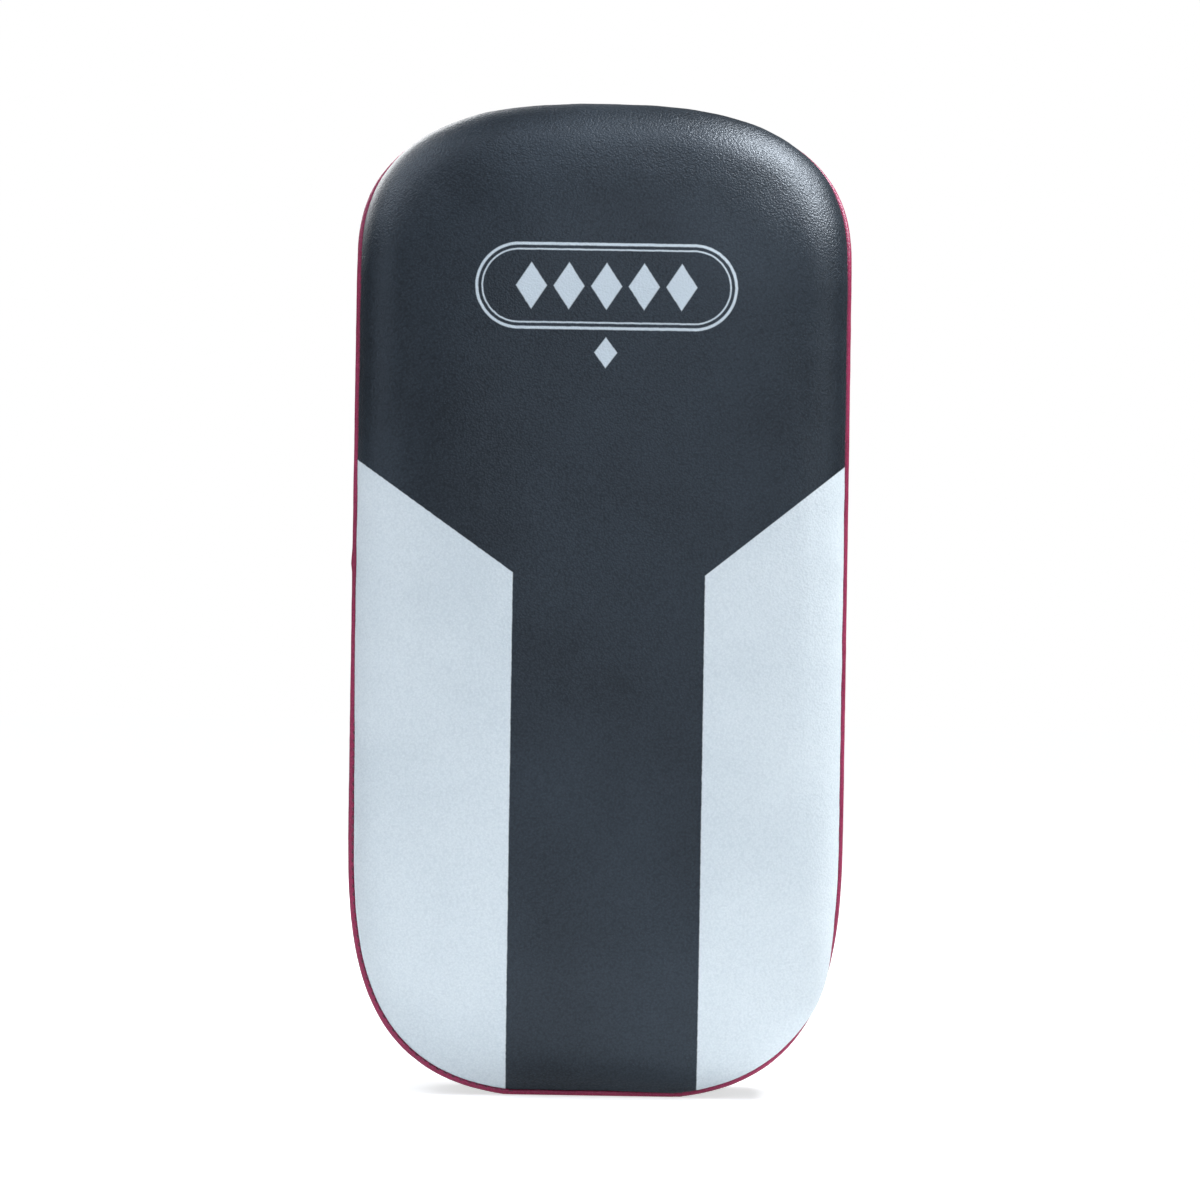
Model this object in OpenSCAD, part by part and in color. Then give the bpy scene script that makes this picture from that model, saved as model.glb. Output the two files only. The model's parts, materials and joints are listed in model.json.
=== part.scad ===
// Thai pad: a stuffed kick pad with a hand grip and two forearm straps on its back.
// It stands on its bottom end. +Z is up, the strike face looks towards -Y and the
// straps are on the +Y side. The origin is in the plane that it stands on, midway
// between its sides, and midway in depth between the strike face and the straps.

/* [Body] */
// Height of the outline that the cover is cut to
body_h = 402; // [380:2:420]
// Width across the sides
body_w = 198; // [190:1:210]
// Depth from the crown of the strike face to the back panel
body_d = 90; // [84:1:100]
// Height of the curve at the top end
top_cap = 68; // [60:1:80]
// How square the top end is: 2 is an ellipse
top_square = 2.65; // [2.3:0.05:3]
// Height of the curve at the bottom end
bottom_cap = 115; // [100:1:120]
// How square the bottom end is
bottom_square = 3.15; // [2.8:0.05:3.4]
// How much of the bottom curve is flattened where the pad stands
base_cut = 1.2; // [0.8:0.1:2]

/* [Strike face] */
// How far the side edges roll back
side_roll = 14; // [12:1:16]
// How far the top edge rolls back
top_roll = 34; // [28:1:38]
// How far in from the side the roll starts
side_reach = 24; // [18:1:30]
// How far in from the top and bottom ends the roll starts
end_reach = 50; // [40:1:54]
// How much the face falls away towards the sides
crown_x = 3; // [1:0.5:5]
// How much the face falls away towards the ends
crown_z = 6; // [3:0.5:8]

/* [Cover] */
// Thickness of the artificial leather
skin = 1.5; // [1.2:0.1:1.8]
// Radius of the piping
piping_r = 1.5; // [1.2:0.1:1.5]

/* [Grip] */
// Height of the grip above the bottom
grip_z = 320; // [310:1:325]
// Distance of the grip's axis from the back panel
grip_out = 60; // [56:1:66]
// Outside radius of the grip
grip_r = 15.5; // [15:0.5:17]
// Length of the grip
grip_len = 92; // [88:1:96]

/* [Straps] */
// Height of the upper strap's middle
upper_z = 205; // [200:1:215]
// Height of the lower strap's middle
lower_z = 100; // [95:1:110]
// Width of a strap
strap_w = 48; // [44:1:50]
// Height of a strap's arch above the back panel
arch_h = 76; // [72:1:84]
// Thickness of a strap
strap_t = 3.6; // [3:0.1:3.6]
// Radius of the ring's wire
wire_r = 2; // [1.8:0.1:2]

/* [Hidden] */

$fn = 48;
gap = 0.1;                        // between pieces that lie on each other
black = "#23282e";
white = "#dfe8ef";
crimson = "#a02c50";

half_w = body_w / 2;
tail_off = 7.4;                   // from the strap's middle to the tail's middle
rear_d = arch_h + tail_off + strap_t / 2;
front_y = -(body_d + rear_d) / 2;
back_y = front_y + body_d;
mid_z = body_h / 2;
bottom_mid = bottom_cap - base_cut;  // centre of the bottom curve
top_mid = body_h - top_cap;          // centre of the top curve

// The cover's seams: the panels meet in a shallow valley, and the piping fills it.
seam_in = 2 * piping_r + gap;     // the panels' edges, in from the outline
valley = [[seam_in, 0], [seam_in - 0.5, 1.3], [1.2, 2.8]];
seam_drop = 4;                    // the front seam's dip below the top of the panel
back_drop = 8;                    // the back seam's dip
back_roll = 6;                    // depth of the back panel's rounded edge
back_reach = 8;                   // width of the back panel's rounded edge
back_seam_y = back_y - back_roll;

// ---- The outline, as a ring of points counted from the bottom middle ----
q_steps = 18;                     // points in each quarter curve
s_steps = 6;                      // points on each straight side
half_n = 2 * q_steps + s_steps;
ring_n = 2 * half_n;

function smooth(t) = let (u = min(1, max(0, t))) u * u * (3 - 2 * u);

// A point on the right half, i from 0 at the bottom to half_n at the top.
function half_point(i, in, drop) =
  i < q_steps ?
    let (t = 90 * i / q_steps)
    [(half_w - in) * pow(sin(t), 2 / bottom_square),
     max(in, bottom_mid - (bottom_cap - in) * pow(cos(t), 2 / bottom_square))] :
  i < q_steps + s_steps ?
    [half_w - in, bottom_mid + (top_mid - bottom_mid) * (i - q_steps) / s_steps] :
    let (t = 90 * (i - q_steps - s_steps) / q_steps)
    [(half_w - in) * pow(max(0, cos(t)), 2 / top_square),
     top_mid + (top_cap - in - drop) * pow(sin(t), 2 / top_square)];

// Any point of the ring: the outline moved inwards by in, its top lowered by drop.
function ring_point(i, in, drop = 0) =
  i <= half_n ? half_point(i, in, drop) :
  let (p = half_point(ring_n - i, in, drop)) [-p[0], p[1]];

function at_y(p, y) = [p[0], y, p[1]];
function base_z(i) = ring_point(i, 0)[1];
function top_share(i) = smooth((base_z(i) - (body_h - 80)) / 62);
function bottom_share(i) = smooth((70 - base_z(i)) / 60);
function roll(i) = side_roll + (top_roll - side_roll) * top_share(i);
function reach(i) =
  side_reach + (end_reach - side_reach) * max(top_share(i), bottom_share(i));
function crown(p) =
  crown_x * pow(p[0] / half_w, 2) + crown_z * pow((p[1] - mid_z) / mid_z, 2);
function front_seam_y(i) = front_y + crown(ring_point(i, seam_in)) + roll(i);

// ---- Rings of the panels; deep is the distance below the outer surface ----
roll_angles = [16, 30, 45, 60, 75, 90];
face_shares = [0.72, 0.42, 0.14];  // the face's rings, towards its middle line
function seam_in_at(k, deep) = valley[k][0] + deep;

function front_edge_ring(k, deep) = [
  for (i = [0:ring_n - 1])
    at_y(ring_point(i, seam_in_at(k, deep), seam_drop * (k < 2 ? 1 : 0.35)),
         front_seam_y(i) - valley[k][1])
];
function front_roll_ring(angle, deep) = [
  for (i = [0:ring_n - 1])
    let (p = ring_point(i, 1 + deep + (reach(i) - deep) * (1 - cos(angle))))
    at_y(p, front_y + crown(p) + deep + (roll(i) - deep) * (1 - sin(angle)))
];
function towards_middle(p, share) =
  let (low = bottom_cap * 0.55, high = body_h - top_cap * 0.9,
       z = min(high, max(low, p[1])))
  [p[0] * share, z + (p[1] - z) * share];
function face_ring(share, deep) = [
  for (i = [0:ring_n - 1])
    let (p = towards_middle(ring_point(i, 1 + reach(i)), share))
    at_y(p, front_y + crown(p) + deep)
];
function front_rings(deep) = concat(
  [for (k = [0:2]) front_edge_ring(k, deep)],
  [for (angle = roll_angles) front_roll_ring(angle, deep)],
  [for (share = face_shares) face_ring(share, deep)]
);

function side_ring(in, along, shift) = [
  for (i = [0:ring_n - 1])
    let (y0 = front_seam_y(i), y = y0 + (back_seam_y - y0) * along + shift)
    at_y(ring_point(i, in, seam_drop + (back_drop - seam_drop) * along), y)
];
function side_rings(deep) = [
  side_ring(seam_in + deep, 0, 0),
  side_ring(seam_in - 0.5 + deep, 0, 1.3),
  side_ring(0.5 + deep, 0, 3.5),
  side_ring(deep, 0, 6),
  side_ring(deep, 1, -6),
  side_ring(0.5 + deep, 1, -3.5),
  side_ring(seam_in - 0.5 + deep, 1, -1.3),
  side_ring(seam_in + deep, 1, 0)
];

function back_edge_ring(k, deep) = [
  for (i = [0:ring_n - 1])
    at_y(ring_point(i, seam_in_at(k, deep), back_drop), back_seam_y + valley[k][1])
];
function back_roll_ring(angle, deep) = [
  for (i = [0:ring_n - 1])
    at_y(ring_point(i, 1.2 + deep + (back_reach - deep) * (1 - cos(angle)), back_drop),
         back_y - deep - (back_roll - deep) * (1 - sin(angle)))
];
function back_face_ring(share, deep) = [
  for (i = [0:ring_n - 1])
    at_y(towards_middle(ring_point(i, 1.2 + back_reach, back_drop), share),
         back_y - deep)
];
function back_rings(deep) = concat(
  [for (k = [0:2]) back_edge_ring(k, deep)],
  [for (angle = [45, 68, 90]) back_roll_ring(angle, deep)],
  [back_face_ring(0.14, deep)]
);

// ---- Meshes made of rings ----
function flat_list(rings) = [for (r = rings) for (p = r) p];
function strip(a, b, flip) = [
  for (i = [0:ring_n - 1])
    let (j = (i + 1) % ring_n, quad = [a + i, a + j, b + j, b + i])
    flip ? [quad[3], quad[2], quad[1], quad[0]] : quad
];
// Closes a ring across its middle line, each right point to its left mirror. The
// points on the flat bottom share one face, since they lie on one line.
flat_n = 3;
function zip(a, flip) = concat(
  [let (face = [for (i = [-flat_n:flat_n]) a + (i + ring_n) % ring_n])
    flip ? [for (k = [len(face) - 1:-1:0]) face[k]] : face],
  [for (i = [flat_n:half_n - 1])
    let (m = ring_n - i, m1 = ring_n - i - 1,
         face = i == half_n - 1 ? [a + i, a + i + 1, a + m] :
                [a + i, a + i + 1, a + m1, a + m])
    flip ? [for (k = [len(face) - 1:-1:0]) face[k]] : face]
);
function strips(first, count, flip) = [
  for (k = [0:count - 2])
    each strip(first + k * ring_n, first + (k + 1) * ring_n, flip)
];

// A sheet of leather with a closed middle: outer rings run from the edge inwards.
module panel(outer, inner, flip) {
  n = len(outer);
  far = n * ring_n;
  polyhedron(
    points = flat_list(concat(outer, inner)),
    faces = concat(
      strips(0, n, flip), zip((n - 1) * ring_n, flip),
      strips(far, n, !flip), zip(far + (n - 1) * ring_n, !flip),
      strip(0, far, !flip)
    )
  );
}

// A sheet that runs all the way round, open at both edges.
module band(outer, inner) {
  n = len(outer);
  far = n * ring_n;
  polyhedron(
    points = flat_list(concat(outer, inner)),
    faces = concat(
      strips(0, n, true), strips(far, n, false),
      strip(0, far, false), strip((n - 1) * ring_n, far + (n - 1) * ring_n, true)
    )
  );
}

// A solid stack of rings from the front to the back.
module stack(rings) {
  n = len(rings);
  polyhedron(
    points = flat_list(rings),
    faces = concat(zip(0, true), strips(0, n, true), zip((n - 1) * ring_n, false))
  );
}

module piping(seam_y, drop) {
  sides = 8;
  rings = [
    for (s = [0:sides])
      let (angle = 360 * s / sides)
      [for (i = [0:ring_n - 1])
        at_y(ring_point(i, piping_r - piping_r * cos(angle), drop),
             seam_y[i] + piping_r * sin(angle))]
  ];
  polyhedron(
    points = flat_list([for (s = [0:sides - 1]) rings[s]]),
    faces = [for (s = [0:sides - 1])
      each strip(s * ring_n, ((s + 1) % sides) * ring_n, true)]
  );
}

// ---- Cover ----
module strike_panel() {
  color(white) panel(front_rings(0), front_rings(skin), true);
}

module front_piping() {
  color(crimson) piping([for (i = [0:ring_n - 1]) front_seam_y(i)], seam_drop);
}

module back_piping() {
  color(crimson) piping([for (i = [0:ring_n - 1]) back_seam_y], back_drop);
}

module side_gusset() {
  color(black) difference() {
    band(side_rings(0), side_rings(skin));
    eyelet_places() cylinder(r = eyelet_r + gap, h = 12, center = true, $fn = 16);
  }
}

module back_panel() {
  color(black) difference() {
    panel(back_rings(0), back_rings(skin), false);
    all_rivet_holes();
  }
}

// ---- Filling: three glued foam sheets, cut to one smooth shape ----
board_t = 1.5;
washer_t = 1;
foam_back_y = back_y - skin - board_t - washer_t - 4 * gap;
foam_cuts = [front_y + 32, front_y + 60];

module foam_shape() {
  deep = skin + gap;
  stack(concat(
    [for (k = [len(face_shares) - 1:-1:0]) face_ring(face_shares[k], deep)],
    [for (k = [len(roll_angles) - 1:-1:0]) front_roll_ring(roll_angles[k], deep)],
    side_rings(deep + 1.6),
    [[for (i = [0:ring_n - 1])
        at_y(ring_point(i, deep + back_reach, back_drop), foam_back_y)]]
  ));
}

module foam_sheet(from_y, to_y) {
  intersection() {
    foam_shape();
    translate([-body_w, from_y, -10]) cube([2 * body_w, to_y - from_y, body_h + 20]);
  }
}

module impact_foam() {
  color("#3a3f45") foam_sheet(front_y - 10, foam_cuts[0]);
}

module core_foam() {
  color("#e8e2d2") difference() {
    foam_sheet(foam_cuts[0] + gap, foam_cuts[1]);
    eyelet_places() cylinder(r = eyelet_r + 1, h = 20, center = true, $fn = 16);
  }
}

module rear_foam() {
  color("#cfd6da") foam_sheet(foam_cuts[1] + gap, back_y);
}

// Leatherboard behind the back panel, which the rivets clamp.
module back_board() {
  color("#8a6a4a") difference() {
    translate([0, back_y - skin - gap, 0]) slab(174, [60, 350], board_t, 24);
    all_rivet_holes();
  }
}

// A flat rounded piece between two heights, its outer face at y = 0.
module slab(width, heights, thick, corner) {
  height = heights[1] - heights[0];
  translate([0, 0, heights[0] + height / 2]) rotate([90, 0, 0])
    linear_extrude(thick) rounded(width, height, corner);
}

module rounded(width, height, corner) {
  union() {
    square([width - 2 * corner, height], center = true);
    square([width, height - 2 * corner], center = true);
    for (x = [-1, 1], y = [-1, 1])
      translate([x * (width / 2 - corner), y * (height / 2 - corner)]) circle(corner);
  }
}

// ---- Vents ----
eyelet_r = 3.2;
eyelet_bore = 2.5;
eyelet_flange = 5.5;
eyelet_zs = [150, 262];
eyelet_y = front_y + body_d / 2;

module eyelet_places() {
  for (side = [-1, 1], z = eyelet_zs)
    translate([side * half_w, eyelet_y, z]) rotate([0, side * 90, 0]) children();
}

module vent_eyelets() {
  color("silver") eyelet_places() rotate_extrude() polygon([
    [eyelet_bore, -5], [eyelet_r, -5], [eyelet_r, gap], [eyelet_flange, gap],
    [eyelet_flange, 0.5], [4.6, 1], [eyelet_r, 1], [eyelet_bore, 0.4]
  ]);
}

// ---- Cushions on the back ----
knuckle_t = 13;
knuckle_size = [92, 58];
forearm_t = 12;
forearm_w = 100;
forearm_zs = [46, 258];

module knuckle_pad() {
  half = knuckle_size[1] / 2;
  color(black) translate([0, back_y + gap + knuckle_t, 0])
    slab(knuckle_size[0], [grip_z - half, grip_z + half], knuckle_t, 14);
}

module forearm_pad() {
  color(black) translate([0, back_y + gap + forearm_t, 0])
    slab(forearm_w, forearm_zs, forearm_t, 18);
}

// ---- Ribbons: leather and webbing that follow a line in the XY plane ----
function bezier(p, t) =
  let (u = 1 - t)
  u * u * u * p[0] + 3 * u * u * t * p[1] + 3 * u * t * t * p[2] + t * t * t * p[3];
function curve(p, steps) = [for (k = [1:steps]) bezier(p, k / steps)];
function arc(centre, r, from, to, steps) = [
  for (k = [0:steps])
    let (a = from + (to - from) * k / steps) centre + r * [cos(a), sin(a)]
];
function unit(v) = v / norm(v);
function normals(line) = [
  for (k = [0:len(line) - 1])
    let (a = line[max(0, k - 1)], b = line[min(len(line) - 1, k + 1)], d = unit(b - a))
    [-d[1], d[0]]
];
function shifted(line, by) =
  let (n = normals(line)) [for (k = [0:len(line) - 1]) line[k] + by * n[k]];
function backwards(line) = [for (k = [len(line) - 1:-1:0]) line[k]];
function part_of(line, from, to) = [for (k = [from:to]) line[k]];

// off is the distance of the ribbon's middle to the left of the line.
module ribbon(line, off, thick, width, z) {
  translate([0, 0, z - width / 2]) linear_extrude(width)
    polygon(concat(shifted(line, off + thick / 2),
                   backwards(shifted(line, off - thick / 2))));
}

// ---- Grip ----
patch_t = 1.2;
webbing_t = 2.8;
webbing_y = back_y + 2 * gap + patch_t + webbing_t / 2;
grip_y = back_y + grip_out;
tab_x = 90;
tab_w = 34;
tab_rise_x = 68;
grip_web_w = 22;
handle_rivet_x = 80;
handle_rivet_dz = 9;

handle_half = concat(
  [[-tab_x, webbing_y], [-tab_rise_x, webbing_y]],
  curve([[-tab_rise_x, webbing_y], [-tab_rise_x + 18, webbing_y],
         [-grip_len / 2 - 14, grip_y], [-grip_len / 2 - 1, grip_y]], 10)
);
handle_line = concat(
  handle_half, [for (p = backwards(handle_half)) [-p[0], p[1]]]);

module handle_webbing() {
  wide = tab_w / 2;
  slim = grip_web_w / 2;
  inner = grip_len / 2;
  edge = [[-tab_x, wide], [-tab_rise_x, wide], [-inner, slim],
          [inner, slim], [tab_rise_x, wide], [tab_x, wide]];
  color(black) difference() {
    intersection() {
      ribbon(handle_line, 0, webbing_t, tab_w, grip_z);
      translate([0, back_y + 2 * grip_out, grip_z]) rotate([90, 0, 0])
        linear_extrude(2 * grip_out)
          polygon(concat(edge, [for (p = backwards(edge)) [p[0], -p[1]]]));
    }
    handle_rivet_places() rivet_hole();
  }
}

module grip_tube(outer, inner, length) {
  translate([0, grip_y, grip_z]) rotate([0, 90, 0]) difference() {
    cylinder(r = outer, h = length, center = true);
    cylinder(r = inner, h = length + 2, center = true);
  }
}

cover_t = 1.4;
module handle_foam() {
  slot = [grip_len + 2, webbing_t + 2 * gap, grip_web_w + 1];
  color("#3a3f45") translate([0, grip_y, grip_z]) difference() {
    rotate([0, 90, 0])
      cylinder(r = grip_r - cover_t - gap, h = grip_len - 2, center = true);
    cube(slot, center = true);
  }
}

module handle_cover() {
  color(black) grip_tube(grip_r, grip_r - cover_t, grip_len);
}

module handle_collars() {
  color(black) for (side = [-1, 1])
    translate([side * (grip_len / 2 - 4), 0, 0])
      grip_tube(grip_r + 1.2, grip_r + gap, 8);
}

module handle_patches() {
  color(black) difference() {
    for (side = [-1, 1])
      translate([side * 72, back_y + gap + patch_t, 0])
        slab(38, [grip_z - 22, grip_z + 22], patch_t, 6);
    handle_rivet_places() rivet_hole();
  }
}

// ---- Rivets ----
rivet_r = 1.6;
rivet_head = 4.5;
module rivet_hole() {
  rotate([-90, 0, 0]) cylinder(r = rivet_r + gap, h = 30, center = true, $fn = 16);
}

// A rivet whose head sits at top_y and whose washer is behind the leatherboard.
module rivet(top_y) {
  low = foam_back_y + gap - back_y;
  washer = low + washer_t;
  high = top_y - back_y + gap;
  rotate([-90, 0, 0]) rotate_extrude() polygon([
    [0, low], [4, low], [4, washer], [rivet_r, washer], [rivet_r, high],
    [rivet_head, high], [rivet_head, high + 0.6], [3.6, high + 1.4],
    [2, high + 1.9], [0, high + 2]
  ]);
}

module handle_rivet_places() {
  for (side = [-1, 1], dz = [-1, 1])
    translate([side * handle_rivet_x, back_y, grip_z + dz * handle_rivet_dz])
      children();
}

module handle_rivets() {
  color("silver") handle_rivet_places() rivet(webbing_y + webbing_t / 2);
}

strap_rivet_dz = 14;
anchor_rivet_x = -82;
tab_rivet_x = 84;
module strap_rivet_places(z, x) {
  for (dz = [-1, 1]) translate([x, back_y, z + dz * strap_rivet_dz]) children();
}

module strap_rivets(z) {
  color("silver") {
    strap_rivet_places(z, anchor_rivet_x) rivet(anchor_y + strap_t / 2);
    strap_rivet_places(z, tab_rivet_x) rivet(tab_top_y + ring_tab_t / 2);
  }
}

module all_rivet_holes() {
  handle_rivet_places() rivet_hole();
  for (z = [upper_z, lower_z], x = [anchor_rivet_x, tab_rivet_x])
    strap_rivet_places(z, x) rivet_hole();
}

// ---- Straps ----
// The ring hangs between its tab and the strap, and leans over the forearm.
ring_lean = 105;                  // direction from the tab's bar to the strap's bar
ring_pitch = 21;                  // between the middles of its two long bars
ring_tab_t = 2;
tab_bar = [66, back_y + gap + ring_tab_t + 0.3 + wire_r];
ring_dir = [cos(ring_lean), sin(ring_lean)];
ring_out = [sin(ring_lean), -cos(ring_lean)];
strap_bar = tab_bar + ring_pitch * ring_dir;
fold_in = 3.6;                    // the fold is loose on the bar, so the ring can rock
fold_r = fold_in + strap_t / 2;
strap_end = strap_bar - fold_r * ring_out;

anchor_y = back_y + 2 * gap + patch_t + strap_t / 2;
anchor_x = -89;
rise_x = -74;
arch_top = [-2, back_y + arch_h];
arch_left = [-59, back_y + 34];

rise_line = concat(
  [[anchor_x, anchor_y], [rise_x, anchor_y]],
  curve([[rise_x, anchor_y], [rise_x + 13, anchor_y], [-61.5, back_y + 18],
         arch_left], 8)
);
arch_line = concat(
  [arch_left],
  curve([arch_left, [-55.5, back_y + 56], [-32, arch_top[1]], arch_top], 14),
  curve([arch_top, [30, arch_top[1]], strap_end + 24 * ring_dir, strap_end], 16)
);
fold_line = arc(strap_bar, fold_r, ring_lean + 90, ring_lean + 270, 12);
arch_n = len(arch_line) - 1;
strap_line = concat(
  rise_line, part_of(arch_line, 1, arch_n), part_of(fold_line, 1, len(fold_line) - 1));

// Layers on the strap: a loop patch, then the tail with its hook patch.
patch_tape = 1.6;
tail_close = 9;                   // points over which the tail comes down to the strap
tail_from = arch_n;
tail_to = 12;                     // the arch point above which the tail ends
function tail_shift(k) =
  tail_off + (2 * fold_r - tail_off) * (1 - smooth((tail_from - k) / tail_close));
tail_line =
  let (n = normals(arch_line))
  [for (k = [tail_from:-1:tail_to]) arch_line[k] + tail_shift(k) * n[k]];
peel_gap = 1.2;                   // bare leather left at the bend, for the hinge
tail_start = tail_line[0] + peel_gap * ring_dir;
peel_axis = tail_line[0] + strap_t / 2 * ring_out + peel_gap / 2 * ring_dir;
peel_line = concat([tail_start], part_of(tail_line, 1, len(tail_line) - 1));

module strap(z) {
  color(black) difference() {
    ribbon(strap_line, 0, strap_t, strap_w, z);
    strap_rivet_places(z, anchor_rivet_x) rivet_hole();
  }
}

// Soft lining on the arm's side of the arch.
lining_t = 3;
module lining(z) {
  color("#4a5058")
    ribbon(part_of(arch_line, 1, arch_n - 3), -(strap_t + lining_t) / 2 - gap,
           lining_t, strap_w - 4, z);
}

module loop_patch(z) {
  color("#15181b")
    ribbon(part_of(arch_line, 4, arch_n - 8), (strap_t + patch_tape) / 2 + gap / 2,
           patch_tape, strap_w - 8, z);
}

// The tail's free end is round: seen from behind, its corners are cut by a big circle.
tail_end = peel_line[len(peel_line) - 1];
module tail_outline(width, end_x, z) {
  translate([0, back_y + 2 * arch_h, z]) rotate([90, 0, 0])
    linear_extrude(2 * arch_h) {
      translate([end_x + width / 2, -width / 2]) square([150, width]);
      translate([end_x + width / 2, 0]) circle(width / 2);
    }
}

tail_w = strap_w - 2;
module tail(z) {
  color(black) intersection() {
    ribbon(peel_line, 0, strap_t, tail_w, z);
    tail_outline(tail_w, tail_end[0], z);
  }
}

module hook_patch(z) {
  width = strap_w - 10;
  color("#15181b") intersection() {
    ribbon(part_of(peel_line, tail_close, len(peel_line) - 1),
           (strap_t + patch_tape) / 2 + gap / 2, patch_tape, width, z);
    tail_outline(width, tail_end[0] + 5, z);
  }
}

// A rectangle of wire with round corners.
ring_corner = 5;
module ring(z) {
  long = strap_w + 4 + wire_r;     // between the middles of the two short sides
  x = ring_pitch / 2 - ring_corner;
  y = long / 2 - ring_corner;
  middle = (tab_bar + strap_bar) / 2;
  color("silver") translate([middle[0], middle[1], z])
    rotate([90, 0, ring_lean]) union() {
      for (side = [-1, 1]) {
        translate([side * ring_pitch / 2, 0, 0]) rotate([90, 0, 0])
          cylinder(r = wire_r, h = 2 * y, center = true);
        translate([0, side * long / 2, 0]) rotate([0, 90, 0])
          cylinder(r = wire_r, h = 2 * x, center = true);
      }
      for (turn = [0:3])
        translate([(turn == 0 || turn == 3 ? 1 : -1) * x, (turn < 2 ? 1 : -1) * y, 0])
          rotate([0, 0, 90 * turn]) rotate_extrude(angle = 90)
            translate([ring_corner, 0]) circle(wire_r);
    }
}

// The tab folds round the ring's bar, and both its plies are riveted to the back.
tab_fold_r = wire_r + 0.3 + ring_tab_t / 2;
tab_low_y = back_y + gap + ring_tab_t / 2;
tab_top_y = tab_low_y + ring_tab_t + gap;
tab_line = concat(
  [[89, tab_low_y], [74, tab_low_y]],
  arc(tab_bar, tab_fold_r, 270, 90, 12),
  curve([tab_bar + [0, tab_fold_r], tab_bar + [6, tab_fold_r],
         [73, tab_top_y], [79, tab_top_y]], 8),
  [[89, tab_top_y]]
);
module ring_tab(z) {
  color(black) difference() {
    ribbon(tab_line, 0, ring_tab_t, strap_w - 2, z);
    strap_rivet_places(z, tab_rivet_x) rivet_hole();
  }
}

module anchor_patch(z) {
  half = strap_w / 2 + 4;
  color(black) difference() {
    translate([-77, back_y + gap + patch_t, 0])
      slab(28, [z - half, z + half], patch_t, 5);
    strap_rivet_places(z, anchor_rivet_x) rivet_hole();
  }
}

strike_panel();
front_piping();
side_gusset();
back_piping();
back_panel();
impact_foam();
core_foam();
rear_foam();
back_board();
vent_eyelets();
knuckle_pad();
forearm_pad();
handle_webbing();
handle_foam();
handle_cover();
handle_collars();
handle_patches();
handle_rivets();
strap(upper_z);  // upper_strap
lining(upper_z);  // upper_lining
loop_patch(upper_z);  // upper_loop_patch
tail(upper_z);  // upper_tail
hook_patch(upper_z);  // upper_hook_patch
ring(upper_z);  // upper_ring
ring_tab(upper_z);  // upper_ring_tab
anchor_patch(upper_z);  // upper_anchor_patch
strap_rivets(upper_z);  // upper_rivets
strap(lower_z);  // lower_strap
lining(lower_z);  // lower_lining
loop_patch(lower_z);  // lower_loop_patch
tail(lower_z);  // lower_tail
hook_patch(lower_z);  // lower_hook_patch
ring(lower_z);  // lower_ring
ring_tab(lower_z);  // lower_ring_tab
anchor_patch(lower_z);  // lower_anchor_patch
strap_rivets(lower_z);  // lower_rivets
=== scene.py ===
# A thai pad: a stuffed kick pad that stands on its lower end. The leather cover is
# sewn from a strike panel, a gusset and a back panel with piping between them, and the
# back has a hand grip, two cushions and two forearm straps with hook-and-loop ends.
# Lengths in the functions are in millimetres; the meshes are in metres.
import json
import math

import bpy
import numpy as np
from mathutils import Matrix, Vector, noise
from mathutils.bvhtree import BVHTree

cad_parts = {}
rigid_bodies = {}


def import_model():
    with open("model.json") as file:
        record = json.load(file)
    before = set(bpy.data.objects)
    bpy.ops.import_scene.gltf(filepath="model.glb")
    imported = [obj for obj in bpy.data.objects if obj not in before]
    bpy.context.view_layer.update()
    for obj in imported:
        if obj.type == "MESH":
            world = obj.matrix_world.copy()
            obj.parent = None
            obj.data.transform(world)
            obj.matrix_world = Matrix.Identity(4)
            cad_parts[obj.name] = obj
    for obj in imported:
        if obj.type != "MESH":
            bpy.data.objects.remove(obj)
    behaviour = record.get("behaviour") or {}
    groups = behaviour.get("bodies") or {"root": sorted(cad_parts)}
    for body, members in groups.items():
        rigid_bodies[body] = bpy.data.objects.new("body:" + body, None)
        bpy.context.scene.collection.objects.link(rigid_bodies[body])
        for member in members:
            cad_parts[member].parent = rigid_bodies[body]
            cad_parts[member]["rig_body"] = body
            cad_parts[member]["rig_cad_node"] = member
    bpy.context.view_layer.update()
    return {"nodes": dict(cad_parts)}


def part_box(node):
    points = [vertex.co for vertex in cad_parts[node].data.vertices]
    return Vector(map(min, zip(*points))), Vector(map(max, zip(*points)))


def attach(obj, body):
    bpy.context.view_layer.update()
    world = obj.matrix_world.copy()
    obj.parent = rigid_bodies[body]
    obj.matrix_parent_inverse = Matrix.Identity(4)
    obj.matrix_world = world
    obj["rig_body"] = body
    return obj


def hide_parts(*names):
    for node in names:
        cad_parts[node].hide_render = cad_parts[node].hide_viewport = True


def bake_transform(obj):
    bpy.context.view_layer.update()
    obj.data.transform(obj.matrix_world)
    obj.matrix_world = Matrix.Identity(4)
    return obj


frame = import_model()
scene = bpy.context.scene
MM = 0.001


def node_box(node):
    """The lowest and highest corner of a CAD node, in millimetres."""
    low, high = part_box(node)
    return [v / MM for v in low], [v / MM for v in high]


# ---------------------------------------------------------------- the cover's outline
BODY_H = 402.0
HALF_W = 99.0
TOP_CAP, TOP_SQUARE = 68.0, 2.65
BOTTOM_CAP, BOTTOM_SQUARE = 115.0, 3.15
BOTTOM_MID = BOTTOM_CAP - 1.2
TOP_MID = BODY_H - TOP_CAP
SEAM_IN = 3.1            # the panels' sewn edges, in from the outline
SEAM_DROP, BACK_DROP = 4.0, 8.0
PIPING_R = 1.5
BACK_Y = node_box("back_panel")[1][1]
BACK_SEAM_Y = BACK_Y - 6.0
FRONT_Y = BACK_Y - 90.0
EYELET_Y = FRONT_Y + 45.0
EYELET_ZS = (150.0, 262.0)
AROUND = 336             # points on the whole outline


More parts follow.
